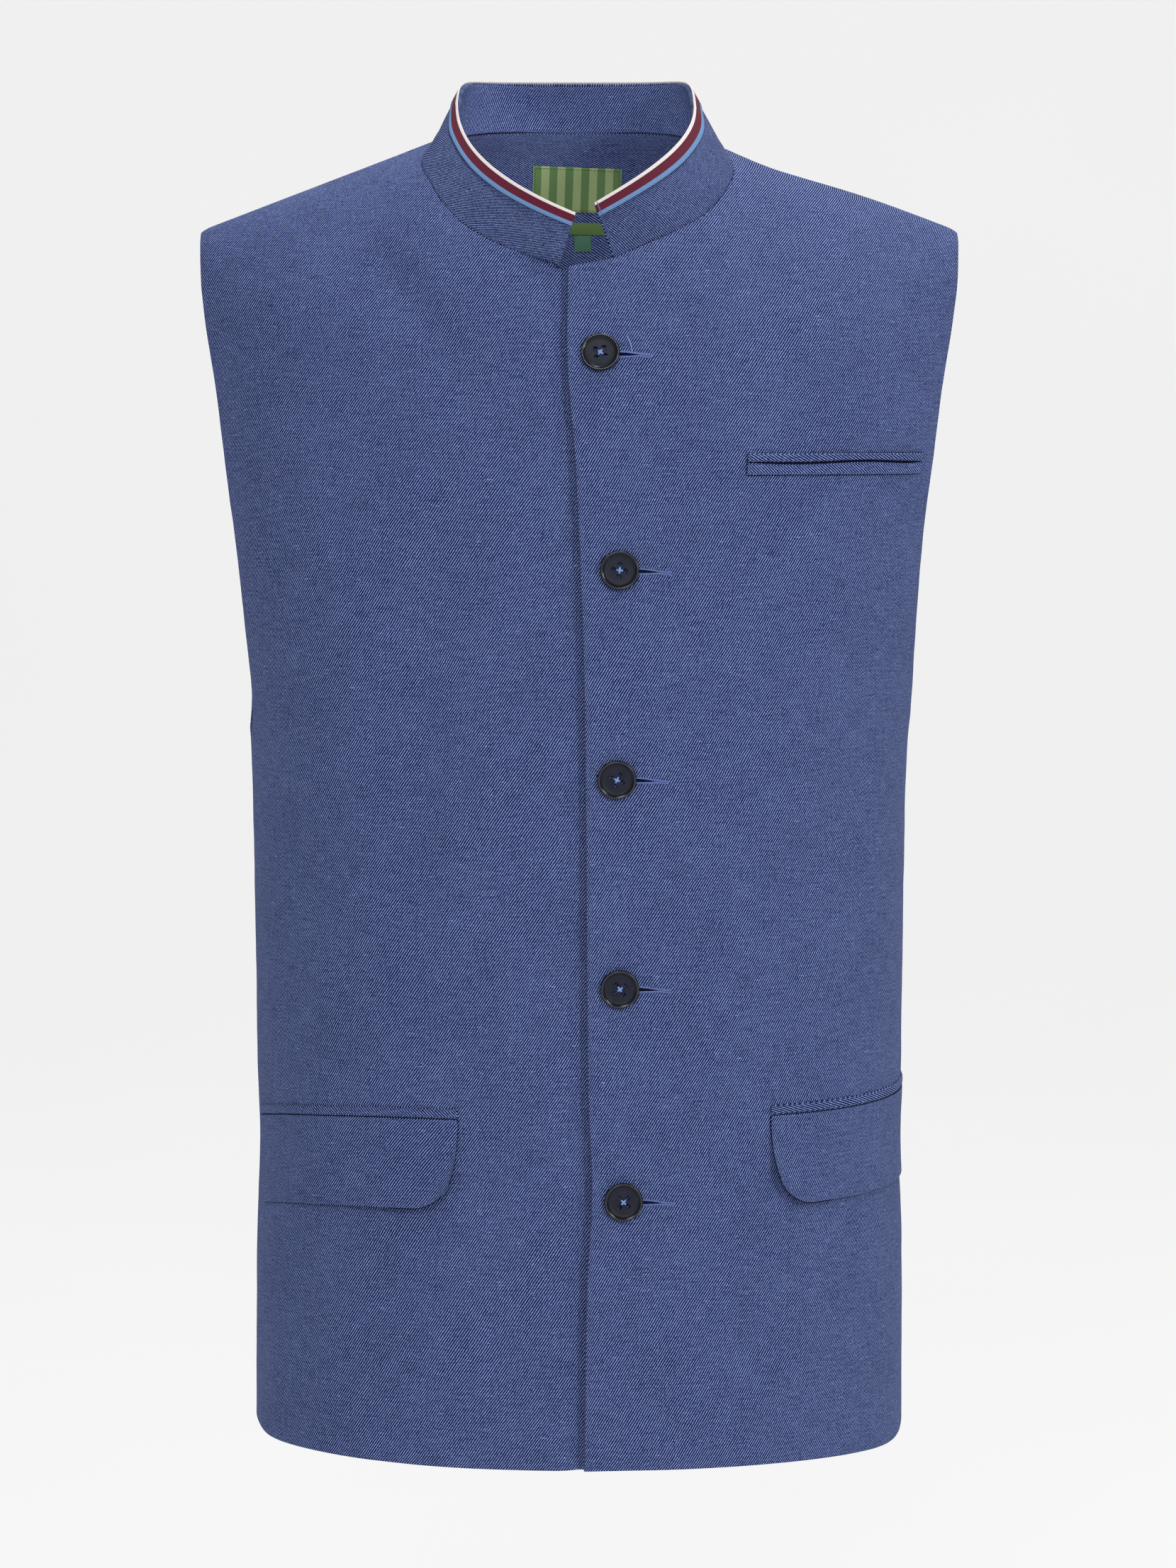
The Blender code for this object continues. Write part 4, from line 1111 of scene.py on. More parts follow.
def collar_top_point(spec, turn):
    """Point of the collar's top ring. The turn is 0 at the side, 1 at the front end, -1 at the back."""
    if turn >= 0.0:
        end_share = spec.side * (spec.end_x - COLLAR_TOP_CENTRE_X) / COLLAR_TOP_HALF_WIDTH
        end_turn = acos(clamp(end_share, -1.0, 1.0))
        x = COLLAR_TOP_CENTRE_X + spec.side * COLLAR_TOP_HALF_WIDTH * cos(turn * end_turn)
        y = -COLLAR_TOP_FRONT * sin(turn * end_turn)
        z = mix(spec.side_z, spec.end_z, turn + spec.sag * turn * (1.0 - turn))
        return Vector((x, y, z))
    power = 2.0 / COLLAR_TOP_BACK_POWER
    quarter = -turn * pi / 2.0
    x = COLLAR_TOP_CENTRE_X + spec.side * COLLAR_TOP_HALF_WIDTH * max(0.0, cos(quarter)) ** power
    y = COLLAR_TOP_BACK * sin(quarter) ** power
    z = mix(spec.side_z, COLLAR_TOP_BACK_Z, 1.0 - (1.0 + turn) ** COLLAR_TOP_BACK_RISE_POWER)
    return Vector((x, y, z))


def collar_top():
    """Points of the collar's top edge, one above each point of its seam."""
    half = BACK_NECK_COLUMNS // 2
    right_turns = [1.0 - i / NECK_COLUMNS for i in range(NECK_COLUMNS + 1)]
    right_turns += [-i / half for i in range(1, half + 1)]
    left_turns = [i / half - 1.0 for i in range(1, half)]
    left_turns += [i / NECK_COLUMNS for i in range(NECK_COLUMNS + 1)]
    points = [collar_top_point(COLLAR_TOP_RIGHT, turn) for turn in right_turns]
    return points + [collar_top_point(COLLAR_TOP_LEFT, turn) for turn in left_turns]


def collar_rows(base, start_share, count):
    """Grid of the collar's outer face from a share of its height up, top row first."""
    top = collar_top()
    rows = []
    for share in spread(1.0, start_share, count):
        line = []
        for low, high in zip(base, top):
            start = low + (high - low).normalized() * SEWN
            outward = Vector((low.x, low.y, 0.0)).normalized()
            point = start.lerp(high, share) + outward * (COLLAR_BULGE * 4.0 * share * (1.0 - share))
            sway = COLLAR_SWAY * noise.noise(point * 38.0) * sin(pi * clamp(share, 0.0, 1.0))
            line.append(point + outward * sway)
        rows.append(line)
    return rows


def band_flats(rows, turn):
    """Places of a band's points on its flat cut, which bends by an angle in all."""
    last_column = len(rows[0]) - 1
    flats, below = [], None
    heights = [0.0] * (last_column + 1)
    for line in rows[::-1]:
        across = distances(line, last_column // 2)
        if below:
            for j in range(last_column + 1):
                ahead = (line[min(j + 1, last_column)] - line[max(j - 1, 0)]).normalized()
                step = line[j] - below[j]
                heights[j] += (step - ahead * step.dot(ahead)).length
        elif turn:
            radius = (across[-1] - across[0]) / turn
        below = line
        if turn:
            flats.append([((radius - height) * sin(gone / (radius - height)),
                           radius - (radius - height) * cos(gone / (radius - height)))
                          for gone, height in zip(across, heights)])
        else:
            flats.append(list(zip(across, heights)))
    return flats[::-1]


def collar(base, materials):
    """The band collar, whose inner face has the second material, a copy of the weave painted lighter as
    painted light in the neck's hollow.
    """
    rows = collar_rows(base, 0.0, COLLAR_ROWS)
    return shell("collar_cloth", rows, flipped(grid_normals(rows)), band_flats(rows, COLLAR_CUT_TURN),
                 COLLAR_WALL, materials, lambda i, j: 1)


def collar_tape(base, made_material):
    """Striped tape along the top of the collar's outer face."""
    height = sum((high - low).length for low, high in zip(base, collar_top())) / len(base)
    rows = collar_rows(base, 1.0 - TAPE_HEIGHT / height, TAPE_ROWS)
    normals = flipped(grid_normals(rows))
    rows = raised(rows, normals, lambda point: TAPE_WALL + TAPE_GAP)
    flats = band_flats(rows, 0.0)
    for i in range(TAPE_ROWS):
        up = 1.0 - i / TAPE_ROWS
        for point in rows[i]:
            point.z += TAPE_TOP_LIFT * up ** 3
    for i, line in enumerate(flats):
        flats[i] = [(across, TAPE_HEIGHT * (1.0 - i / TAPE_ROWS)) for across, _ in line]
    return shell("collar_tape_cloth", rows, normals, flats, TAPE_WALL, [made_material], reach=TAPE_REACH)


# Pieces that lie on a panel

def far_half_painted_shade(i, j, level):
    """Gives the far half of a turned edge the piece's second material: painted shade that draws a dark line
    along the edge.
    """
    return min(level, 1)


def on_cloth(angle, z, lift):
    """Point at a height over the cloth's face."""
    foot = skin(angle, z)
    return foot + skin_normal(angle, z) * (relief(foot) + lift)


def lying(name, places, lift_of, thickness, flats, materials, facing=1.0, reach=RIM_REACH,
          rim_slot=None):
    """Sheet over a grid of angles and heights. lift_of gives its underside's height over the cloth."""
    rows = [[on_cloth(angle, z, facing * (lift_of(i, j) + thickness)) for j, (angle, z) in enumerate(line)]
            for i, line in enumerate(places)]
    normals = [[skin_normal(angle, z) * facing for angle, z in line] for line in places]
    return shell(name, rows, normals, flats, thickness, materials, None, reach, rim_slot)


def own_flats(places):
    """Flat places of a small piece from its own distances, across to the viewer's right and up."""
    points = [[skin(angle, z) for angle, z in line] for line in places]
    flats = []
    ups = [0.0] * len(points[0])
    for i, line in enumerate(points):
        across = [0.0]
        for here, there in zip(line, line[1:]):
            across.append(across[-1] + (there - here).length * copysign(1.0, there.x - here.x))
        if i:
            ups = [up - (here - there).length for up, here, there in zip(ups, line, points[i - 1])]
        flats.append(list(zip(across, ups)))
    return flats


def chest_welts(upper_material, lower_material, slot_shade_material):
    """Two narrow welts with the pocket's slit between them. The slit is a strip of painted shade, and the
    far half of the welts' turned edges carries painted shade too.
    """
    rows = WELT_ROWS
    start, end = front_angle(WELT_START_X, LOWER_WELT_TOP_Z), front_angle(WELT_END_X, LOWER_WELT_TOP_Z)
    angles = spread(start, end, WELT_COLUMNS)
    alongs = spread(0.0, 1.0, WELT_COLUMNS)
    sags = [WELT_SAG * sin(pi * along) * sin(2.2 * pi * along + 0.6) for along in alongs]
    closings = [WELT_CLOSING * (1.0 - smooth_step(0.0, 0.14, min(along, 1.0 - along))) for along in alongs]
    for side, name, top, height, made_material in (
            (1.0, "chest_welt_upper", UPPER_WELT_TOP_Z, UPPER_WELT_HEIGHT, upper_material),
            (-1.0, "chest_welt_lower", LOWER_WELT_TOP_Z, LOWER_WELT_HEIGHT, lower_material)):

        def to_slit(i):
            return i / rows if side > 0 else 1.0 - i / rows

        def lift(i, j):
            return 0.0001 + 0.0004 * sin(pi * i / rows) + 0.0006 * (1.0 - to_slit(i))

        places = [[(angle, top - height * i / rows - (sag + side * closing) * to_slit(i))
                   for angle, sag, closing in zip(angles, sags, closings)] for i in range(rows + 1)]
        piece = lying(name + "_cloth", places, lift, WELT_WALL, own_flats(places),
                      [made_material, slot_shade_material], rim_slot=far_half_painted_shade)
        stand_for(piece, name, "cloth", flat=(0.096, 0.010), held="laid", rests_on=["front_left_cloth"],
                  area=0.096 * height)
    # Painted shade: a dark strip lies in the slit between the welts.
    slit_z = LOWER_WELT_TOP_Z + 0.0004
    strip("chest_pocket_slit_shade", [[on_cloth(angle, slit_z + up - sag, 0.0004)
                                 for angle, sag in zip(angles, sags)] for up in (0.0009, 0.0, -0.0009)],
          slot_shade_material)


def flap_drop(along):
    """Height of a flap at a distance along it, with its two lower corners rounded."""
    from_end = max(0.0, min(along, FLAP_LENGTH - along))
    if from_end >= FLAP_CORNER:
        return FLAP_HEIGHT
    return FLAP_HEIGHT - FLAP_CORNER + sqrt(FLAP_CORNER ** 2 - (FLAP_CORNER - from_end) ** 2)


def hip_pocket(pocket, flap_material, jet_material, flap_edge_shade_material):
    """A jet with a flap under it."""
    start = front_angle(pocket.start_x, pocket.top_z)
    end = walk_ring(start, pocket.top_z, FLAP_LENGTH)

    def place(share, drop):
        lean = FLAP_LEAN * (drop / FLAP_HEIGHT) ** 2 * (1.0 - share)
        turn = copysign(lean / BODY[-1].half_width, pocket.start_x)
        return mix(start, end, share) + turn, pocket.top_z - pocket.sag * share ** 2 - drop

    corner = FLAP_CORNER / FLAP_LENGTH
    turns = spread(0.0, 0.5 * pi, FLAP_CORNER_COLUMNS)[:-1]
    near = [corner * (1.0 - cos(turn)) for turn in turns]
    shares = near + spread(corner, 1.0 - corner, FLAP_COLUMNS) + [1.0 - share for share in near[::-1]]
    rows = FLAP_ROWS
    places = [[place(share, flap_drop(FLAP_LENGTH * share) * i / rows) for share in shares]
              for i in range(rows + 1)]

    def flap_lift(i, j):
        down, to_end = i / rows, 1.0 - shares[j]
        wave = 0.0003 * sin(5.0 * pi * shares[j]) * down
        return 0.0001 + FLAP_FLARE * (0.05 + 0.95 * to_end ** 3) * down * down + wave * to_end

    # Painted shade: the far half of the flap's turned edge all round, and its whole turned edge near the
    # front end, take the dark slot material for the shadow line and the dark crescents at the front corners.
    def flap_rim_shade(i, j, level):
        return 1 if level or (i and shares[j] < 0.2) else 0

    flap = lying("flap_%s_cloth" % pocket.side, places, flap_lift, FLAP_WALL, own_flats(places),
                 [flap_material, flap_edge_shade_material], rim_slot=flap_rim_shade)
    stand_for(flap, "flap_" + pocket.side, "cloth", flat=(0.150, 0.048), held="hung",
              rests_on=["jet_%s_cloth" % pocket.side], area=0.0070)

    jet_shares = spread(0.0, 1.0, JET_COLUMNS)
    places = [[place(share, -SEAM_GAP - JET_HEIGHT * (1.0 - i / JET_ROWS)) for share in jet_shares]
              for i in range(JET_ROWS + 1)]

    def jet_lift(i, j):
        return 0.0001 + 0.0008 * sqrt(1.0 - jet_shares[j]) * sin(pi * i / JET_ROWS)

    jet = lying("jet_%s_cloth" % pocket.side, places, jet_lift, JET_WALL, own_flats(places),
                [jet_material])
    stand_for(jet, "jet_" + pocket.side, "cloth", flat=(0.150, 0.010), held="stretched",
              rests_on=["front_%s_cloth" % pocket.side], area=0.00084)


def back_neck_facing(made_material, facing_edge_shade_material):
    """Facing inside the back, from the neck seam down to a round lower edge. Its weave is painted lighter
    for the neck's shade, and the far half of its turned edge carries painted shade for the seam's dark line.
    """
    places = [[] for _ in range(FACING_ROWS + 1)]
    for share in spread(-1.0, 1.0, FACING_COLUMNS):
        x = FACING_HALF_WIDTH * sin(share * pi / 2.0)
        top = back_neck_z(x) + FACING_RISE
        bottom = top - FACING_DEPTH * (0.45 + 0.55 * sqrt(1.0 - share * share * 0.98))
        for i, line in enumerate(places):
            z = mix(top, bottom, i / FACING_ROWS)
            line.append((back_angle(x, z), z))
    piece = lying("back_neck_facing_cloth", places, lambda i, j: WALL + FACING_GAP - 0.0008 * exp(-0.6 * i),
                  FACING_WALL, own_flats(places), [made_material, facing_edge_shade_material], -1.0, rim_slot=far_half_painted_shade)
    stand_for(piece, "back_neck_facing", "cloth", flat=(0.160, 0.084), held="stretched",
              rests_on=["back_cloth"], area=0.0098)


def label(spec, made_material, stitch_material, slot):
    """A plain woven label on the facing. The largest is sewn along its edges."""
    middle_x, middle_z = 0.5 * (spec.left + spec.right), 0.5 * (spec.top + spec.bottom)
    half_width, half_height = 0.5 * (spec.right - spec.left), 0.5 * (spec.top - spec.bottom)
    tilt = radians(spec.tilt)
    base_lift = WALL + FACING_GAP + FACING_WALL + LABEL_GAP

    def place(across, up):
        x = middle_x + across * cos(tilt) - up * sin(tilt)
        z = middle_z + across * sin(tilt) + up * cos(tilt)
        return back_angle(x, z), z

    def lift(i, j):
        return base_lift + LABEL_PUFF * sin(pi * i / LABEL_ROWS) * sin(pi * j / LABEL_COLUMNS)

    flats = [[(across, up) for across in spread(-half_width, half_width, LABEL_COLUMNS)]
             for up in spread(half_height, -half_height, LABEL_ROWS)]
    places = [[place(*spot) for spot in line] for line in flats]
    piece = lying(spec.name + "_cloth", places, lift, LABEL_WALL, flats, [made_material], -1.0, 0.0002)
    stand_for(piece, spec.name, slot, flat=(max(0.01, 2.0 * half_width), max(0.01, 2.0 * half_height)),
              held="laid", rests_on=["back_neck_facing_cloth"], area=None)
    if spec.name != "neck_label":
        return
    paths = []
    ends = [Vector((a * (half_width - LABEL_STITCH_INSET), b * (half_height - LABEL_STITCH_INSET)))
            for a, b in ((-1, 1), (1, 1), (1, -1), (-1, -1))]
    for start, end in zip(ends, ends[1:] + ends[:1]):
        count = int((end - start).length / LABEL_STITCH)
        for k in range(count):
            path = []
            for share in (0.12, 0.3, 0.5, 0.7, 0.88):
                rise = base_lift + LABEL_WALL + 0.00022 * sin(pi * (share - 0.12) / 0.76)
                path.append(on_cloth(*place(*start.lerp(end, (k + share) / count)), -rise))
            paths.append(path)
    threads("neck_label_stitches", paths, LABEL_THREAD, stitch_material, slot, 5)


# Buttons and buttonholes

def seat(x, z):
    """Where the cloth's face is at a place of the front, and its direction out."""
    angle = front_angle(x, z)
    foot = skin(angle, z)
    normal = skin_normal(angle, z)
    return foot + normal * relief(foot), normal


def round_mesh(tool, rings, closed=False):
    """Adds faces between rings of vertices, the last of which may join the first."""
    pairs = zip(rings, rings[1:] + rings[:1]) if closed else zip(rings, rings[1:])
    for inner, outer in pairs:
        count = max(len(inner), len(outer))
        for k in range(count):
            after = (k + 1) % count
            corners = [inner[k % len(inner)], outer[k % len(outer)], outer[after % len(outer)],
                       inner[after % len(inner)]]
            tool.faces.new(list(dict.fromkeys(corners)))
    bmesh.ops.recalc_face_normals(tool, faces=tool.faces)


def round_turns(count):
    """Evenly spaced angles of a full turn."""
    return [2.0 * pi * i / count for i in range(count)]


def loose_object(name, tool):
    """An object made of a mesh tool's faces."""
    mesh = bpy.data.meshes.new(name)
    tool.to_mesh(mesh)
    tool.free()
    return linked(name, mesh)


def button_mesh(made_material):
    """A round button with a raised rolled rim, a dished middle and four lipped holes."""
    top = BUTTON_THICKNESS
    profile = (
        (0.0, 0.565), (0.10, 0.565), (0.20, 0.568), (0.34, 0.574), (0.50, 0.586), (0.62, 0.606),
        (0.700, 0.640), (0.750, 0.690), (0.780, 0.750), (0.805, 0.830), (0.825, 0.900),
        (0.845, 0.935), (0.860, 0.950), (0.875, 0.970), (0.900, 0.995), (0.930, 1.000),
        (0.960, 0.975), (0.985, 0.900), (0.998, 0.790), (1.000, 0.640), (0.990, 0.470),
        (0.950, 0.280), (0.880, 0.120), (0.780, 0.030), (0.600, 0.0), (0.0, 0.0))
    tool = bmesh.new()
    rings = []
    for share, height in profile:
        radius = share * BUTTON_RADIUS
        turns = round_turns(BUTTON_SIDES) if share else [0.0]
        rings.append([tool.verts.new((radius * cos(t), radius * sin(t), height * top)) for t in turns])
    round_mesh(tool, rings)
    blank = loose_object("button_blank", tool)

    reach = BUTTON_HOLE_OFFSET * sqrt(2.0)
    holes = [Vector((reach * cos(turn), reach * sin(turn), 0.0))
             for turn in (0.25 * pi + quarter for quarter in round_turns(4))]
    tool = bmesh.new()
    for hole in holes:
        bmesh.ops.create_cone(
            tool, cap_ends=True, segments=HOLE_SIDES, radius1=BUTTON_HOLE_RADIUS, radius2=BUTTON_HOLE_RADIUS,
            depth=3.0 * top, matrix=Matrix.Translation(hole + Vector((0.0, 0.0, 0.5 * top))))
    drill = loose_object("button_drill", tool)
    cut = blank.modifiers.new("holes", "BOOLEAN")
    cut.object = drill
    cut.operation = "DIFFERENCE"
    mesh = bpy.data.meshes.new_from_object(blank.evaluated_get(bpy.context.evaluated_depsgraph_get()))
    for thing in (blank, drill):
        bpy.data.objects.remove(thing)

    tool = bmesh.new()
    tool.from_mesh(mesh)
    for hole in holes:
        middle = hole + Vector((0.0, 0.0, BUTTON_LIP_HEIGHT * top))
        rings = []
        rolls = round_turns(LIP_ROLLS)
        for turn in round_turns(LIP_SIDES):
            out = Vector((cos(turn), sin(turn), 0.0))
            spots = [middle + out * (BUTTON_HOLE_RADIUS + 0.00018 + 0.00020 * cos(roll)) for roll in rolls]
            rings.append([tool.verts.new(spot + Vector((0.0, 0.0, 0.00016 * sin(roll))))
                          for spot, roll in zip(spots, rolls)])
        round_mesh(tool, rings, closed=True)
    tool.to_mesh(mesh)
    tool.free()
    mesh.shade_smooth()
    mesh.set_sharp_from_angle(angle=radians(50.0))
    mesh.materials.clear()
    mesh.materials.append(made_material)
    return mesh


def button(number, place, mesh, thread_made):
    """One button on the cloth, with the crossed threads that hold it through its four holes."""
    point, normal = seat(place.x, place.z)
    facing = normal.to_track_quat("Z", "Y").to_matrix().to_4x4()
    turned = facing @ Matrix.Rotation(radians(place.turn), 4, "Z")
    matrix = Matrix.Translation(point + normal * SEAM_GAP) @ turned
    thing = linked("button_%d_turned" % number, mesh)
    thing.matrix_world = matrix
    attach(thing, "root")
    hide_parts("button_%d" % number)
    paths = []
    for strand in (-0.00034, 0.0, 0.00034):
        for side in (1.0, -1.0):
            over = 0.60 * BUTTON_THICKNESS + 0.0002 + (0.00018 if side > 0 else 0.0)
            path = []
            for share in spread(-1.0, 1.0, 10):
                out = share * BUTTON_HOLE_OFFSET * 0.62
                height = over + 0.00035 * (1.0 - share * share)
                if abs(share) > 0.99:
                    height = 0.30 * BUTTON_THICKNESS
                aside = strand * (1.0 - 0.35 * share * share) * 0.7
                path.append(matrix @ Vector((out - aside, side * out + side * aside, height)))
            paths.append(path)
    threads("button_%d_thread" % number, paths, SEWING_THREAD, thread_made, "tape", 6)


def buttonhole(number, place, thread_made, stray_material, slot_shade_material):
    """A buttonhole beside its button: two stitched lips that meet at the far end, with a strip of painted
    shade in the opening between them.
    """
    length = BUTTONHOLE_END - BUTTONHOLE_START

    def spot(along, across, lift):
        drop = BUTTONHOLE_RISE + BUTTONHOLE_DROOP * (along / length) ** 2
        foot, normal = seat(place.x + BUTTONHOLE_START + along, place.z - drop + across)
        return foot + normal * lift

    def opening(along):
        wide = BUTTONHOLE_OPENING * max(0.0, 1.0 - (along / (0.72 * length)) ** 2)
        return wide * min(1.0, sqrt(along / (0.30 * length)))

    paths, ropes = [], []
    for lip in (1.0, -1.0):
        for k in range(int(length / BUTTONHOLE_STITCH)):
            along = (k + 0.5) * BUTTONHOLE_STITCH
            gap = 0.5 * opening(along) + 0.00005
            lean = 0.00018 * sin(3.7 * k)
            paths.append([spot(along + lean * share, lip * (gap + share * 0.00125),
                               -0.0001 + 0.00050 * sin(pi * clamp(0.15 + 0.8 * share, 0.0, 1.0)))
                          for share in (0.0, 0.2, 0.5, 0.8, 1.0)])
        ropes.append([spot(along, lip * (0.5 * opening(along) + 0.00046), 0.00040)
                      for along in spread(0.0, length, 40)])
    ropes.append([spot(length + 0.0002, across, 0.0003)
                  for across in (-0.0013, -0.0006, 0.0, 0.0006, 0.0013)])
    if number == 1:
        stray = [spot(*step) for step in (
            (0.0112, 0.0006, 0.0004), (0.0113, 0.0020, 0.0010), (0.0109, 0.0042, 0.0012),
            (0.0103, 0.0062, 0.0009), (0.0094, 0.0080, 0.0007), (0.0088, 0.0094, 0.0006))]
        threads("stray_thread", [stray], STRAY_THREAD, stray_material, "cloth", 5)
    if number == 2:
        paths.append([spot(0.0175 + 0.0024 * sin(turn), 0.0010 + 0.0019 * (1.0 - cos(turn)), 0.0006)
                      for turn in spread(0.0, 2.0 * pi, 14)])
    threads("buttonhole_%d" % number, paths, SEWING_THREAD, thread_made, "cloth", 5)
    threads("buttonhole_%d_lips" % number, ropes, LIP_THREAD, thread_made, "cloth", 8)
    # Painted shade: a dark strip lies in the buttonhole's opening.
    alongs = spread(0.0, 0.75 * length, 20)
    strip("buttonhole_%d_slot" % number,
          [[spot(along, side * (0.5 * opening(along) + 0.00020), 0.00012) for along in alongs]
           for side in (-1.0, 1.0)], slot_shade_material)


def tape_end_stitches(base, made_material):
    """Zigzag of thread that holds the tape's turned-under left end."""
    count = 8
    rows = collar_rows(base, 1.0 - TAPE_HEIGHT / 0.031, count)
    normals = flipped(grid_normals(rows))
    path = []
    for i in range(count, -1, -1):
        for offset in (0.0, 0.5) if i < count else (0.0,):
            line, after = rows[i], rows[min(i + 1, count)]
            end = line[-1].lerp(after[-1], offset)
            inward = (line[-2] - line[-1]).normalized()
            aside = TAPE_TURN_UNDER + (0.0004 if offset else -0.0002)
            path.append(end + inward * aside + normals[i][-1] * (TAPE_WALL + 0.00022))
    threads("tape_end_stitches", [path], TAPE_THREAD, made_material, "tape", 5)

# Stage, light and camera

def camera():
    """The photograph's view: level with the chest, 2.6 m away and pitched down a little."""
    data = bpy.data.cameras.new("camera")
    data.sensor_width = 36.0
    data.lens = 110.28
    thing = linked("camera", data)
    thing.location = (0.0048, -2.6, -0.137)
    thing.rotation_euler = (radians(90.0 - 4.640), 0.0, 0.0)
    bpy.context.scene.camera = thing


def soft_light(name, place, target, size, watts, colour):
    data = bpy.data.lights.new(name, "AREA")
    data.shape = "RECTANGLE"
    data.size = size
    data.size_y = size
    data.energy = watts
    data.color = colour
    thing = linked(name, data)
    thing.location = place
    aim = Vector(target) - Vector(place)
    thing.rotation_euler = aim.to_track_quat("-Z", "Y").to_euler()


def stage():
    """A pale sweep: a floor well below the hem that turns up into a backdrop."""
    s = Shader("pale_floor")
    colour = s.ramp(s.noise(s.body(), 3.0), (0.3, (0.187, 0.186, 0.185)), (0.7, (0.193, 0.192, 0.191)))
    made = s.finish(colour, 0.9, Specular_IOR_Level=0.1, Emission_Color=(1.0, 1.0, 1.0),
                    Emission_Strength=0.708)
    half_width, floor_z, wall_y, top_z, bend = 7.0, -1.05, 4.8, 5.5, 1.2
    turns = [0.5 * pi * i / 12 for i in range(1, 13)]
    profile = [(-6.0, floor_z), (wall_y - bend, floor_z)]
    profile += [(wall_y - bend + bend * sin(turn), floor_z + bend * (1.0 - cos(turn))) for turn in turns]
    profile.append((wall_y, top_z))
    points = [(x, y, z) for y, z in profile for x in (-half_width, half_width)]
    faces = [(2 * i, 2 * i + 1, 2 * i + 3, 2 * i + 2) for i in range(len(profile) - 1)]
    mesh = bpy.data.meshes.new("pale_floor")
    mesh.from_pydata(points, [], faces)
    mesh.shade_smooth()
    mesh.materials.append(made)
    linked("pale_floor", mesh)


def light():
    """Soft studio light: a pale surround, a key light, a front light and a top light."""
    bpy.context.scene.view_settings.view_transform = "Standard"
    world = bpy.data.worlds.new("studio")
    world.use_nodes = True
    surround = world.node_tree.nodes["Background"]
    surround.inputs[0].default_value = (0.96, 0.98, 1.0, 1.0)
    surround.inputs[1].default_value = 0.42
    bpy.context.scene.world = world
    soft_light("key", (2.6, -3.1, 1.0), (0.0, 0.0, -0.30), 0.8, 54.0, (1.0, 0.985, 0.97))
    soft_light("front", (-0.3, -3.8, 1.8), (0.0, 0.0, -0.20), 1.0, 55.0, (1.0, 1.0, 1.0))
    soft_light("top", (0.6, 0.7, 3.2), (0.0, 0.0, -0.10), 0.9, 98.0, (1.0, 1.0, 1.0))


def body(lining_and_edge_shade_material):
    """The two fronts and the back."""
    front_map = FlatMap()
    right = front(-1, front_map, [twill("twill_right_front", 56.0, shift=7.0), lining_and_edge_shade_material])
    stand_for(right, "front_right", "cloth", flat=(0.330, 0.735), held="hung",
              rests_on=["back_cloth"], area=0.172)
    left = front(1, front_map, [twill("twill_fronts", 58.0), lining_and_edge_shade_material])
    stand_for(left, "front_left", "cloth", flat=(0.330, 0.735), held="hung",
              rests_on=["back_cloth"], area=0.165)
    rear = back([twill("twill_back", 58.0, shift=11.0), lining_and_edge_shade_material])
    stand_for(rear, "back", "cloth", flat=(0.520, 0.730), held="hung",
              rests_on=["front_left_cloth", "front_right_cloth"], area=0.310)


def neck():
    """The collar with its tape."""
    base = collar_base()
    band = collar(base, [twill("twill_collar", -58.5, COLLAR, shift=15.0),
                         twill("twill_collar_inside_painted_light", 56.0, LIT_COLLAR_INSIDE_WEAVE, shift=17.0)])
    stand_for(band, "collar", "cloth", flat=(0.430, 0.075), held="stretched",
              rests_on=["back_cloth"], area=0.0145)
    tape = collar_tape(base, striped_tape())
    stand_for(tape, "collar_tape", "tape", flat=(0.385, 0.0100), held="stretched",
              rests_on=["collar_cloth"], area=0.0033)
    navy_thread = thread_material("thread_navy_blue", (0.060, 0.110, 0.300), (0.300, 0.420, 0.760))
    tape_end_stitches(base, navy_thread)


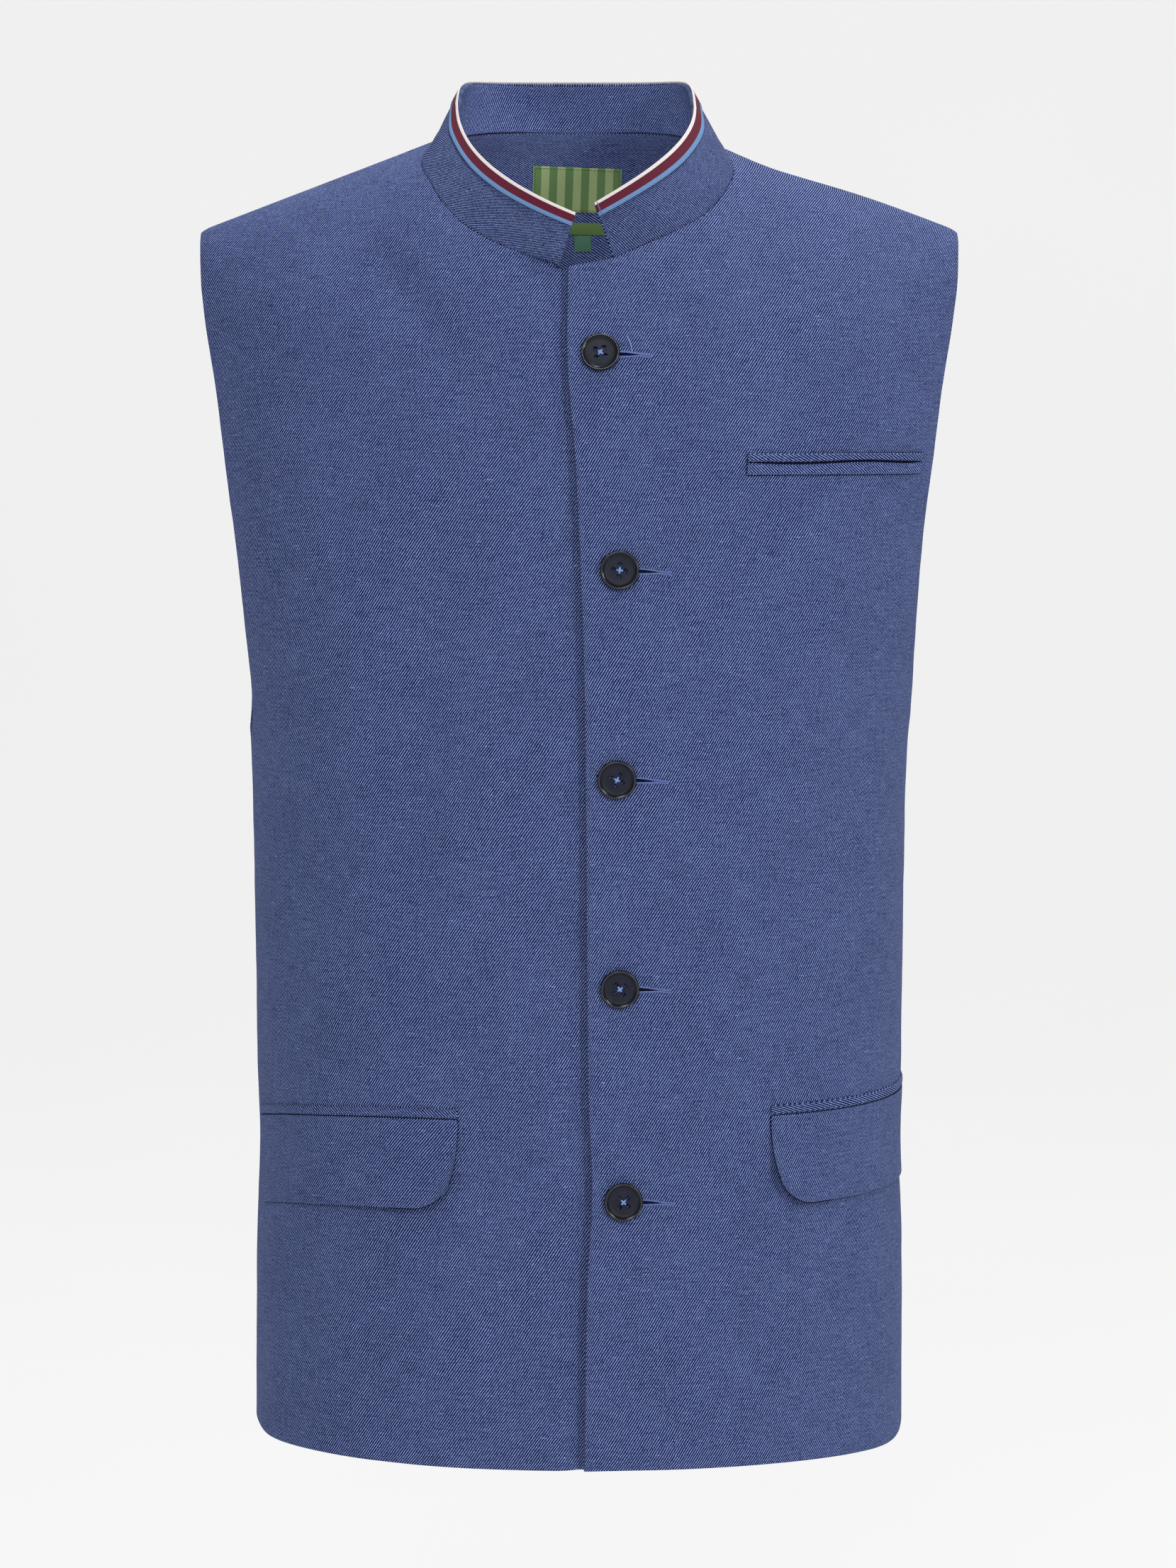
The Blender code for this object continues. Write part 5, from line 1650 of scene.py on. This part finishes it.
def dress():
    """Makes every visible piece of the garment."""
    lining_and_edge_shade_material = lining_and_edge_shade()
    # Painted shade, used for slits, slots and the dark lines along the welts' and flaps' edges.
    painted_slot_shade = painted_shade_material()
    body(lining_and_edge_shade_material)
    neck()
    chest_welts(twill("twill_upper_welt", -28.0, shift=19.0), twill("twill_lower_welt", -42.0, shift=23.0),
                painted_slot_shade)
    hip_pocket(POCKETS[0], twill("twill_right_flap", 49.0, shift=29.0),
               twill("twill_right_jet", -44.0, shift=31.0), painted_slot_shade)
    hip_pocket(POCKETS[1], twill("twill_left_flap", 61.0, shift=37.0),
               twill("twill_left_jet", -20.0, shift=41.0), painted_slot_shade)

    back_neck_facing(twill("twill_facing_painted_light", -32.0, LIT_INSIDE_WEAVE, shift=43.0), lining_and_edge_shade_material)
    green_thread = thread_material("thread_green", (0.035, 0.090, 0.020), (0.110, 0.230, 0.070))
    greens = woven_label("label_two_greens", (0.500, 0.640, 0.290), (0.185, 0.340, 0.120))
    label(LABELS[0], greens, green_thread, "label_green")
    label(LABELS[1], woven_label("tab_olive_weave", (0.160, 0.290, 0.085)), green_thread, "tab_olive")
    label(LABELS[2], woven_label("tab_teal_weave", (0.105, 0.270, 0.175)), green_thread, "tab_teal")

    mesh = button_mesh(button_material())
    pale_thread = thread_material("thread_light_blue", (0.100, 0.190, 0.500), (0.270, 0.400, 0.800))
    hole_thread = thread_material("thread_buttonhole", (0.040, 0.070, 0.240), (0.160, 0.220, 0.520))
    for number, place in enumerate(BUTTONS, start=1):
        button(number, place, mesh, pale_thread)
        buttonhole(number, place, hole_thread, pale_thread, painted_slot_shade)


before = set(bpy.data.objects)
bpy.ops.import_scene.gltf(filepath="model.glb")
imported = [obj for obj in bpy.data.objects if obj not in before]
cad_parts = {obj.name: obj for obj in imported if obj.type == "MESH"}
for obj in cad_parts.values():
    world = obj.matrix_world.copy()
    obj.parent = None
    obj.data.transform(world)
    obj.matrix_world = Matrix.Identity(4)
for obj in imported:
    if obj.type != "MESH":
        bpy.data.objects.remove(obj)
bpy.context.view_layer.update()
camera()
stage()
light()
dress()
